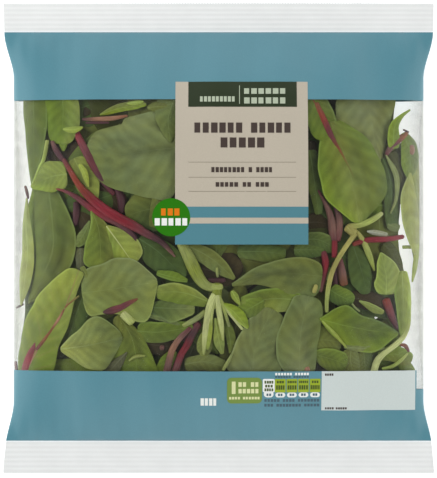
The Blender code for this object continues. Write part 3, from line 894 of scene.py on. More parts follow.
# Leaves tinted shade are dark sheets laid in the gaps: painted shade
FRONT_LEAVES = (
    # upper left
    Leaf("spinach", ("mid",), (2, 1.6, 2, 2.6), [(-106, 88.5), (-105.5, 62), (-106, 30.5)],
         (8, 8, 7, 4.5, 1), (6, 6, 5, 3.5, 1), rim=2),
    Leaf("spinach", ("deep",), (4.7, 4.3, 4.7), [(-98.5, 83.5), (-99, 59), (-104.5, 31)],
         (3, 3, 3.5, 3.5, 1), (3, 3, 2, 3, 1)),
    Leaf("spinach", ("pale", "bright", "bright"), (1.6, 1, 1.5, 2.9), [(-89.5, 88), (-88.5, 70),
         (-89.5, 53.5)], (8.5, 9, 9.5, 9.5, 8.5, 5.5), (10, 10.5, 11, 10.5, 8.5, 5.5),
         creases=((-0.12, -0.05, 0.3, 0.95, 1), (0.45, 0.4, 0.1, 0.8, 0.6))),
    Leaf("spinach", ("lime",), (1, 0.5, 0.9), [(-88.5, 62), (-82.5, 61.5), (-77, 63)],
         (0.5, 1.5, 2, 1.5, 0.5), (0.5, 1.5, 2, 1.5, 0.5)),
    Leaf("spinach", ("bright",), (3.2, 3.2), [(-87.5, 61), (-88, 49.5)], (3.5, 3, 2, 0.5), (4, 3.5, 3, 1)),
    Leaf("spinach", ("shade",), (5.9, 5.9, 5.9), [(-98, 49), (-87, 50), (-75.5, 49)], (4.5, 7, 7, 5.5, 1.5),
         (4.5, 7, 7, 7, 3.5)),
    Leaf("spinach", ("pale", "pale", "sun", "pale"), (1.6, 0.8, 0.8, 1.6), [(-86, 36.5), (-97, 34.5),
         (-107, 29)], (8, 8.5, 9, 6, 1), (7, 8.5, 8.5, 4.5, 1), creases=((0.1, 0.1, 0.1, 0.8, 0.5),)),
    Leaf("spinach", ("pale", "olive"), (3.2, 2.9, 3.8), [(-82, 45.5), (-76.5, 33), (-71, 17)],
         (4.5, 8, 8.5, 6, 2), (4.5, 6, 5.5, 4.5, 2)),
    Leaf("spinach", ("lime",), (1.3, 1, 1.5), [(-79, 42), (-76, 37), (-73.5, 29)], (1, 2, 1.5, 0.5),
         (1, 1.5, 1.5, 0.5)),
    Leaf("spinach", ("mist", "mist", "grey", "mist"), (2.1, 1.8, 2, 3.2), [(-22, 51.5), (-39, 49.5),
         (-57, 47.5), (-74, 54.5)], (28, 28.5, 26, 22, 15, 7), (21.5, 21.5, 22, 20, 15, 7), rib="faint",
         creases=((0, 0, 0.05, 0.75, 1.3), (0.5, 0.68, 0, 0.3, 1), (0.5, 0.35, 0.3, 0.9, 0.6))),
    Leaf("spinach", ("mid", "grey"), (1.2, 0.9, 1.6), [(-24, 82), (-28.5, 68), (-27, 54)],
         (4.5, 4.5, 4.5, 4.5, 1), (8, 8.5, 7.5, 4.5, 1)),
    Leaf("spinach", ("olive", "sun"), (1.6, 1.2, 1.3), [(-67.5, 70), (-57, 73.5), (-41, 76)],
         (0.5, 2, 3, 3, 1), (0.5, 2, 2, 2, 1), rim=-1),
    Leaf("spinach", ("olive",), (1.5, 1.3, 1.5), [(-40.5, 74), (-34.5, 74.5), (-26, 74.5)], (1, 3, 3, 2),
         (1, 3, 3, 2)),
    Leaf("spinach", ("lime",), (0.8, 0.6, 0.8), [(-52, 76.5), (-47.5, 77), (-42.5, 77.5)], (0.5, 1, 1, 0.5),
         (0.5, 1.5, 1.5, 0.5)),
    Leaf("spinach", ("shade",), (5.5, 5.5), [(-79, 80), (-75.5, 69.5)], (4.5, 4.5, 4.5), (3, 3, 3)),
    Leaf("spinach", ("dark", "olive"), (4, 3.8, 4), [(-24, 18), (-39, 16.5), (-52.5, 12.5)],
         (8, 12.5, 11, 5), (8, 11, 10.5, 5)),
    Leaf("spinach", ("shade",), (6.4, 6.4, 6.4), [(-68.5, 31), (-60.5, 23), (-53.5, 10.5)],
         (5.5, 7.5, 7, 4.5), (3.5, 5.5, 5.5, 3)),
    Leaf("spinach", ("olive",), (3.4, 3.2), [(-34, 26), (-36.5, 6)], (3.5, 3.5, 3.5), (3, 3.5, 3)),
    # left middle
    Leaf("spinach", ("straw",), (1.3, 0.8, 0.6, 0.9), [(-109.5, 23), (-110, 7.5), (-109, -11),
         (-113, -38.5)], (0.5, 3, 4, 4, 0.5), (0.5, 2, 3.5, 3.5, 0.5), rim=1),
    Leaf("spinach", ("mid", "mid", "olive", "mid"), (3.6, 2.7, 2.4, 3.3), [(-97, 28.5), (-94.5, 9.5),
         (-95, -9.5), (-108.5, -37.5)], (4.5, 10.5, 13, 9.5, 0.5), (8.5, 11, 10.5, 8, 0.5),
         creases=((-0.25, -0.45, 0.2, 0.7, 1.3), (0.35, 0.4, 0.2, 0.6, 0.7), (-0.7, -0.7, 0.1, 0.5, 0.5)),
         rim=-1),
    Leaf("spinach", ("shade",), (6.1, 6.1, 6.1), [(-84.5, 18.5), (-77.5, 12.5), (-73, 1.5)],
         (4.5, 5.5, 4.5), (3.5, 4.5, 4.5)),
    Leaf("spinach", ("mid", "grey"), (3.4, 3.2, 3.2), [(-73, 10), (-76, 3), (-81, -4.5)], (0.5, 2, 4, 2),
         (0.5, 2, 3, 2), rim=-1),
    Leaf("spinach", ("slate",), (4, 3.9), [(-78.5, -5.5), (-78, -18)], (3, 2.5, 2), (3, 3, 2)),
    Leaf("spinach", ("olive", "bright"), (2.2, 2, 2.6), [(-72, 16.5), (-67.5, 3.5), (-66.5, -17)],
         (0.5, 4.5, 7.5, 8.5, 8), (0.5, 4, 7.5, 10, 10), rim=2, creases=((-0.3, -0.2, 0.2, 0.9, 0.9),)),
    Leaf("lettuce", ("pale", "lime", "bright"), (2.2, 2, 2.2), [(-63.5, 7), (-56.5, -2.5), (-48, -14.5)],
         (1, 6, 9, 9.5, 7), (0.5, 4.5, 7, 7.5, 5.5), rib="ivory", rim=-1),
    Leaf("spinach", ("dark",), (3.4, 3.4, 4), [(-45, 0), (-33, -8.5), (-19.5, -22.5)], (3, 6, 8, 7.5, 3),
         (4.5, 9, 9.5, 7, 3.5), creases=((0.2, 0.1, 0.2, 0.9, 0.8),)),
    Leaf("spinach", ("bright",), (3, 2.9, 3.4), [(-35, -19.5), (-27.5, -21.5), (-17.5, -24)],
         (1.5, 3, 3, 1), (1.5, 2, 2, 1), rim=1),
    # lower left
    Leaf("chard", ("bright", "bright", "lime", "pale"), (1.5, 0.6, 0.5, 1.2), [(-111.5, -79),
         (-100.5, -58.5), (-89.5, -44.5), (-79, -18)], (7, 11, 17, 16, 5.5), (14.5, 12.5, 7.5, 3.5, 3.5),
         rib="pink", creases=((-0.5, -0.4, 0.25, 0.9, 0.9), (-0.75, -0.7, 0.3, 0.8, 0.5)), rim=-1),
    Leaf("spinach", ("dark", "mid"), (4.5, 4.2, 4.7), [(-75, -28), (-80.5, -42), (-87, -62.5)],
         (5.5, 7, 5.5, 3.5), (7, 8, 7, 3.5)),
    Leaf("spinach", ("olive",), (2.7, 2.2, 2.9), [(-77.5, -16), (-74, -23.5), (-74.5, -32.5)],
         (1.5, 2, 2, 1), (1.5, 1.5, 1.5, 1), rim=2),
    Leaf("spinach", ("grey", "pale", "mist", "pale"), (2.1, 1.2, 0.9, 1.5), [(-77.5, -31), (-55.5, -28),
         (-34.5, -24.5)], (13.5, 14.5, 16, 16.5, 13, 2), (16, 14, 14.5, 18.5, 20, 2), rib="faint",
         creases=((0.5, 0.3, 0.2, 0.8, 0.5),), rim=2),
    Leaf("spinach", ("straw", "straw", "grey", "grey"), (1.6, 0.6, 1.3), [(-90, -63), (-73, -60.5),
         (-54.5, -56)], (1, 7, 11, 15, 13, 3.5), (1.5, 8, 13.5, 15, 9.5, 1.5),
         creases=((-0.6, -0.5, 0.55, 0.8, 0.6), (0, 0, 0.1, 0.9, 0.4)), rim=-1),
    Leaf("spinach", ("olive", "olive", "bright", "bright"), (3, 2.4, 3), [(-56.5, -43), (-48.5, -58.5),
         (-46, -79.5)], (3, 4, 7, 10.5, 14.5), (4, 9, 11, 14.5, 17),
         creases=((-0.4, -0.2, 0.3, 0.9, 0.9), (0.3, 0.3, 0.3, 0.9, 0.6))),
    Leaf("spinach", ("slate",), (2.1, 2, 2.6), [(-52, -64.5), (-58.5, -71.5), (-64.5, -78.5)],
         (0.5, 3, 4.5, 5.5), (0.5, 2, 3, 3.5)),
    Leaf("spinach", ("pale",), (1.5, 1.3), [(-51, -69.5), (-47, -67), (-41.5, -66.5)], (0.5, 1, 0.5),
         (0.5, 1, 0.5)),
    Leaf("lettuce", ("bright", "pale"), (2, 1.8, 2.4), [(-6, -35.5), (-20.5, -30.5), (-35.5, -30.5)],
         (3.5, 5.5, 7, 5.5, 3.5), (1, 3.5, 4.5, 5, 3.5), rim=1),
    Leaf("lettuce", ("dark", "dark", "mist", "pale"), (2.7, 2.2, 2.4), [(-39, -39), (-26.5, -39.5),
         (-13.5, -39.5)], (2, 4.5, 5.5, 5.5, 3.5), (3.5, 5.5, 8, 6, 3.5), rim=1),
    Leaf("lettuce", ("mid", "grey"), (3, 2.9, 3.4), [(-40.5, -43.5), (-31, -45), (-21.5, -49)],
         (1, 1.5, 1.5, 0.5), (1, 2, 2, 0.5), rim=-1),
    Leaf("lettuce", ("bright", "mid"), (3.3, 2.9, 3.4), [(-46, -52.5), (-33, -53), (-14.5, -50)],
         (4.5, 6, 5.5, 4.5, 3), (4.5, 6, 6, 5, 3), rim=-1,
         creases=((-0.3, -0.3, 0.1, 0.8, 0.7), (0.4, 0.3, 0.1, 0.8, 0.7))),
    Leaf("spinach", ("shade",), (5.9, 5.9, 5.9), [(-42.5, -60), (-32, -61), (-21, -63.5)], (3, 4.5, 4.5, 3),
         (3.5, 5.5, 7, 4.5)),
    Leaf("spinach", ("grey", "olive"), (3.8, 3.8, 4), [(-19.5, -71.5), (-8, -70), (4, -73)],
         (3.5, 4, 4.5, 3.5), (4.5, 5, 5, 3.5)),
    Leaf("spinach", ("olive", "pale"), (3.3, 3.2, 3.8), [(-7.5, -53), (-8, -60.5), (-8.5, -67)],
         (4, 4.5, 4.5, 1.5), (2, 4, 4.5, 1.5)),
    Leaf("spinach", ("bright",), (4, 3.8, 4), [(-24, -64.5), (-30, -70), (-33.5, -78)], (3, 4.5, 4.5),
         (3, 3.5, 3.5)),
    # rosette and lower middle
    Leaf("spinach", ("olive", "grey"), (3.8, 3.4, 4), [(-17.5, -4), (-4, -11.5), (9, -23)],
         (1.5, 4, 4.5, 3.5, 1), (2, 5, 5.5, 4, 1), rim=-1),
    Leaf("spinach", ("shade",), (5.9, 5.9, 5.9), [(-9.5, -17), (2, -19), (13, -13.5)], (10, 12.5, 10, 7),
         (7, 8, 8, 3.5)),
    Leaf("spinach", ("dark", "mid"), (4.3, 4, 4.3), [(10.5, -7.5), (24.5, -7.5), (38, -9)],
         (3.5, 4.5, 4.5, 3.5), (3.5, 5, 5.5, 3.5)),
    Leaf("spinach", ("mid", "dark"), (4, 3.8, 4), [(42.5, -6.5), (50.5, -6.5), (59.5, -6.5)],
         (3.5, 4.5, 4.5, 3), (3.5, 4.5, 4.5, 3)),
    Leaf("spinach", ("grey", "olive", "olive", "grey"), (2, 1.5, 1.5, 2.6), [(58.5, -21.5), (41.5, -20),
         (24.5, -21), (7.5, -26.5)], (11, 13, 9, 4, 1), (7, 10, 7.5, 4.5, 1), rib="faint",
         creases=((0.1, 0, 0.1, 0.9, 0.8), (-0.5, -0.4, 0, 0.5, 0.7)), rim=1),
    Leaf("lettuce", ("pale", "bright"), (2.1, 1.8, 2.2), [(46.5, -35), (31, -34), (12, -36.5)],
         (4.5, 7.5, 8, 7, 4.5), (3.5, 6, 6, 5, 3), rim=1, creases=((0.1, 0.2, 0.1, 0.9, 0.6),)),
    Leaf("lettuce", ("lime",), (0.9, 0.8, 1.3), [(7.5, -29.5), (9, -32.5), (12, -37.5)], (1, 2, 1.5, 0.5),
         (1, 2, 1.5, 0.5)),
    Leaf("lettuce", ("mid", "bright"), (2.1, 1.8, 2.2), [(25.5, -35), (17.5, -39.5), (11, -42.5)],
         (4.5, 5.5, 5, 3), (4.5, 5, 5, 3.5), rim=1),
    Leaf("lettuce", ("sun", "lime"), (1.2, 1, 1.6), [(2, -37), (8.5, -41.5), (16.5, -51)],
         (1, 3, 4, 3.5, 1), (0.5, 1.5, 3, 2, 0.5), rim=1),
    Leaf("lettuce", ("lime",), (1.3, 1.3, 2.2), [(-5, -37.5), (-5.5, -50.5), (-6.5, -63)], (1, 2, 2, 1),
         (1, 2, 2, 1)),
    Leaf("lettuce", ("pale",), (2.1, 1.8, 2.4), [(-2, -45), (-0.5, -54.5), (2, -65.5)], (1, 3, 3, 1),
         (1, 2, 3, 1)),
    Leaf("lettuce", ("mid",), (3.2, 2.9, 3.6), [(3.5, -44.5), (6, -54.5), (7.5, -65.5)], (1, 3, 3, 1.5),
         (1, 2, 2, 1.5)),
    Leaf("spinach", ("deep",), (4.7, 4.7, 4.9), [(11, -46), (7.5, -57.5), (3, -73.5)], (3, 4, 4.5, 3.5),
         (3, 4, 4.5, 3.5)),
    Leaf("spinach", ("mist", "grey"), (2, 1.5, 1.8), [(19, -78.5), (21, -60.5), (30.5, -40)],
         (17, 13.5, 11, 9, 5.5), (18, 16.5, 16, 13, 7.5), rib="faint",
         creases=((0.75, 0.7, 0.25, 0.7, 1.2), (-0.2, -0.1, 0.1, 0.6, 0.5)), rim=-1),
    Leaf("spinach", ("grey", "mist", "grey"), (1.5, 0.9, 1, 1.6), [(46, -77.5), (46, -56.5), (50.5, -32.5)],
         (9, 13, 12.5, 10.5, 8), (9, 9.5, 11, 10.5, 7.5), rib="faint", creases=((0.4, 0.3, 0.2, 0.8, 0.6),),
         rim=-1),
    Leaf("spinach", ("olive",), (3.2, 2.9, 3.2), [(50.5, -59.5), (58.5, -57.5), (70, -59)],
         (4.5, 8, 8, 5.5), (4.5, 5.5, 7, 5.5)),
    Leaf("spinach", ("bright", "mid"), (2.6, 2, 2.6), [(53.5, -65.5), (62, -68), (73, -71.5)],
         (2, 5.5, 6, 5.5), (2, 5.5, 7, 5.5), rim=-1),
    # upper right
    Leaf("chard", ("mid", "bright"), (1.8, 1.2, 1.6), [(51, 84.5), (57.5, 70.5), (64, 57)],
         (5.5, 7, 7.5, 7, 3.5), (5.5, 8, 9, 9.5, 7), rib="rust", rim=-1),
    Leaf("chard", ("bright", "olive", "bright", "mid", "pale", "sun"), (1.5, 0.6, 0.5, 1), [(63.5, 66),
         (70.5, 49), (76, 29.5), (80, 9)], (4.5, 14.5, 19.5, 18.5, 3), (4.5, 14.5, 17.5, 15, 3.5),
         rib="faint", rim=1, creases=((-0.45, -0.4, 0.2, 0.9, 0.7), (0.5, 0.5, 0.3, 0.9, 0.6))),
    Leaf("spinach", ("mist",), (3.6, 3.4, 3.8), [(84, 85.5), (86.5, 67.5), (91, 43.5)], (19, 14.5, 8, 2),
         (19, 19, 14.5, 3.5), rib="faint"),
    Leaf("spinach", ("sun", "bright"), (1.2, 1, 1), [(99.5, 51), (100, 63), (104, 69), (109.5, 73.5)],
         (3, 3.5, 3, 1.5, 0.5), (3, 3.5, 2.5, 1, 0.5), rim=2),
    Leaf("spinach", ("mid", "bright"), (1.8, 1.5, 1.8), [(105, 60), (109, 49.5), (109, 34)],
         (2, 5, 5.5, 4.5, 1), (1, 4, 5.5, 5, 1.5), rim=-1),
    Leaf("spinach", ("deep",), (4, 3.8, 4), [(97.5, 49), (102, 41), (102.5, 30)], (3.5, 4.5, 3.5, 1.5),
         (3, 4.5, 4, 1.5)),
    Leaf("spinach", ("mist",), (2, 1.6, 2), [(95, 47.5), (101, 35.5), (101, 23), (97.5, 14)],
         (0.5, 1.5, 1.5, 1, 0.5), (0.5, 1.5, 1.5, 1, 0.5)),
    Leaf("spinach", ("dark",), (3.4, 3.4, 3.8), [(93.5, 45.5), (97.5, 33), (99, 6)], (2, 4.5, 5, 3.5),
         (2, 4, 4.5, 3.5)),
    Leaf("spinach", ("pale",), (3.2, 2.9, 3.2), [(111, 50.5), (113.5, 22), (113, -13.5)],
         (2, 4.5, 4.5, 4, 1.5), (1.5, 5, 5, 4.5, 1.5)),
    Leaf("spinach", ("straw",), (1.5, 1, 1.3), [(109, 37.5), (108.5, 19), (112.5, -9.5)],
         (1, 4.5, 5.5, 4.5, 1), (0.5, 4.5, 5, 4, 1), rib="faint", rim=1),
    Leaf("spinach", ("dark", "mid"), (4.7, 4.3, 4.3), [(51.5, 50), (54, 33), (56.5, 13.5)],
         (3.5, 5, 4.5, 2), (3.5, 4.5, 3.5, 2)),
    Leaf("spinach", ("shade",), (6.7, 6.7, 6.7), [(52.5, 55.5), (51.5, 44.5), (53, 33)], (3, 4.5, 3),
         (3, 3, 3)),
    Leaf("spinach", ("shade",), (6.4, 6.4, 6.4), [(50.5, 9), (57.5, 9), (64, 7)], (4.5, 6, 5), (4.5, 6, 5)),
    Leaf("spinach", ("mid", "dark"), (4, 3.8, 4), [(49.5, -0.5), (57, -1), (66.5, -5.5)],
         (3.5, 4.5, 4.5, 3), (4.5, 5.5, 5.5, 3.5), rim=-1),
    # lower right
    Leaf("spinach", ("dark",), (3.8, 3.3, 3.8), [(75.5, -2.5), (80, -15.5), (84.5, -31.5)],
         (2, 5, 5.5, 5, 1.5), (1.5, 5.5, 7, 7, 3.5)),
    # Painted glint: a pale piece where the film glares
    Leaf("spinach", ("white",), (2.2, 2.2), [(84, 4), (96, 2)], (0.5, 1.5, 1.5, 1), (0.5, 1.5, 1.5, 1)),
    Leaf("spinach", ("deep",), (4, 3.8, 4), [(93.5, -3), (99.5, -10), (103.5, -21.5)], (3.5, 4, 3.5, 2),
         (3.5, 4.5, 4.5, 3.5)),
    Leaf("spinach", ("grey",), (3.8, 3.8), [(96, 8), (103, 5.5)], (2, 3, 2), (2, 3, 2)),
    Leaf("spinach", ("lime", "pale"), (1.5, 1, 1.3), [(95, -32), (95, -21), (92, -8)], (5, 7, 5.5, 4, 0.5),
         (7, 8.5, 8.5, 5.5, 0.5), rim=2, creases=((0.2, 0.1, 0.1, 0.8, 0.6),)),
    Leaf("spinach", ("lime",), (1.6, 1.5, 1.6), [(111, 8), (113.5, -6.5), (110.5, -25)],
         (0.5, 1.5, 1.5, 1.5, 0.5), (0.5, 2, 2, 1.5, 0.5)),
    Leaf("spinach", ("pale",), (2.6, 2.6), [(104.5, -5), (111, -5)], (1, 1, 1), (1, 1, 1)),
    Leaf("spinach", ("lime", "pale", "bright"), (1.6, 0.9, 1.3), [(104.5, -18.5), (105, -35), (105, -56.5)],
         (3, 4.5, 5, 4.5, 1.5), (3, 5, 4.5, 3, 1.5), rim=2, creases=((0.3, 0.3, 0.2, 0.9, 0.9),)),
    Leaf("spinach", ("bright", "sun", "dark", "bright"), (1.3, 0.6, 0.6, 1.3), [(57, -45.5), (72, -49.5),
         (87, -52.5), (102.5, -54)], (0.5, 11, 8, 6, 0.5), (0.5, 8.5, 12.5, 11, 1),
         creases=((0.1, 0.2, 0.2, 0.9, 1), (-0.3, -0.3, 0.3, 0.8, 0.8)), rim=2),
    Leaf("spinach", ("lime",), (0.6, 0.5, 0.6), [(58.5, -46.5), (65.5, -54), (72.5, -62)], (0.5, 1, 0.5),
         (0.5, 1, 0.5)),
    Leaf("spinach", ("grey",), (1.2, 1, 1.3), [(71, -61.5), (81.5, -62.5), (94.5, -62.5)], (1, 2, 2, 0.5),
         (1, 2, 2, 0.5)),
    Leaf("spinach", ("pale",), (2.2, 2, 2.6), [(79.5, -35.5), (86.5, -38.5), (94, -42)], (0.5, 1.5, 1.5, 1),
         (0.5, 2, 3, 1.5), rim=-1),
    Leaf("spinach", ("bright", "dark"), (3.2, 2.9, 3.4), [(63, -29), (68.5, -32.5), (76.5, -36)],
         (4.5, 5, 5, 3.5), (4.5, 5.5, 5.5, 3.5)),
    Leaf("spinach", ("shade",), (5.5, 5.5, 5.5), [(74.5, -34), (83.5, -35), (95, -38.5)], (4.5, 5.5, 4.5),
         (3.5, 5.5, 4.5)),
    Leaf("spinach", ("grey", "olive"), (3.2, 2.9, 3.4), [(75, -63), (75, -70.5), (77, -78.5)], (4, 5, 5, 5),
         (4, 5, 4.5, 3), rim=1),
    Leaf("spinach", ("dark", "olive"), (3.8, 3.8), [(82.5, -64.5), (84, -78.5)], (5, 5, 5), (4.5, 5, 5)),
    Leaf("spinach", ("bright", "olive"), (2.1, 1.8, 2.2), [(90.5, -67.5), (101, -66), (110.5, -70)],
         (2, 4.5, 4.5, 3.5), (2, 4, 5, 4.5), rim=-1),
    Leaf("spinach", ("bright", "mid"), (2.9, 2.6, 2.9), [(101, -70), (107, -73), (112.5, -78.5)],
         (1, 3, 3, 1.5), (1, 3.5, 4, 2)),
    Leaf("spinach", ("dark", "deep"), (4.3, 4.3), [(88.5, -68), (102.5, -77.5)], (4.5, 5.5, 5),
         (4.5, 5.5, 5)),
)

# A stalk: kind, tints, radii and depth of its top under the film along it, evenly spaced, and its line
Stalk = namedtuple("Stalk", "kind tints radii depth path")

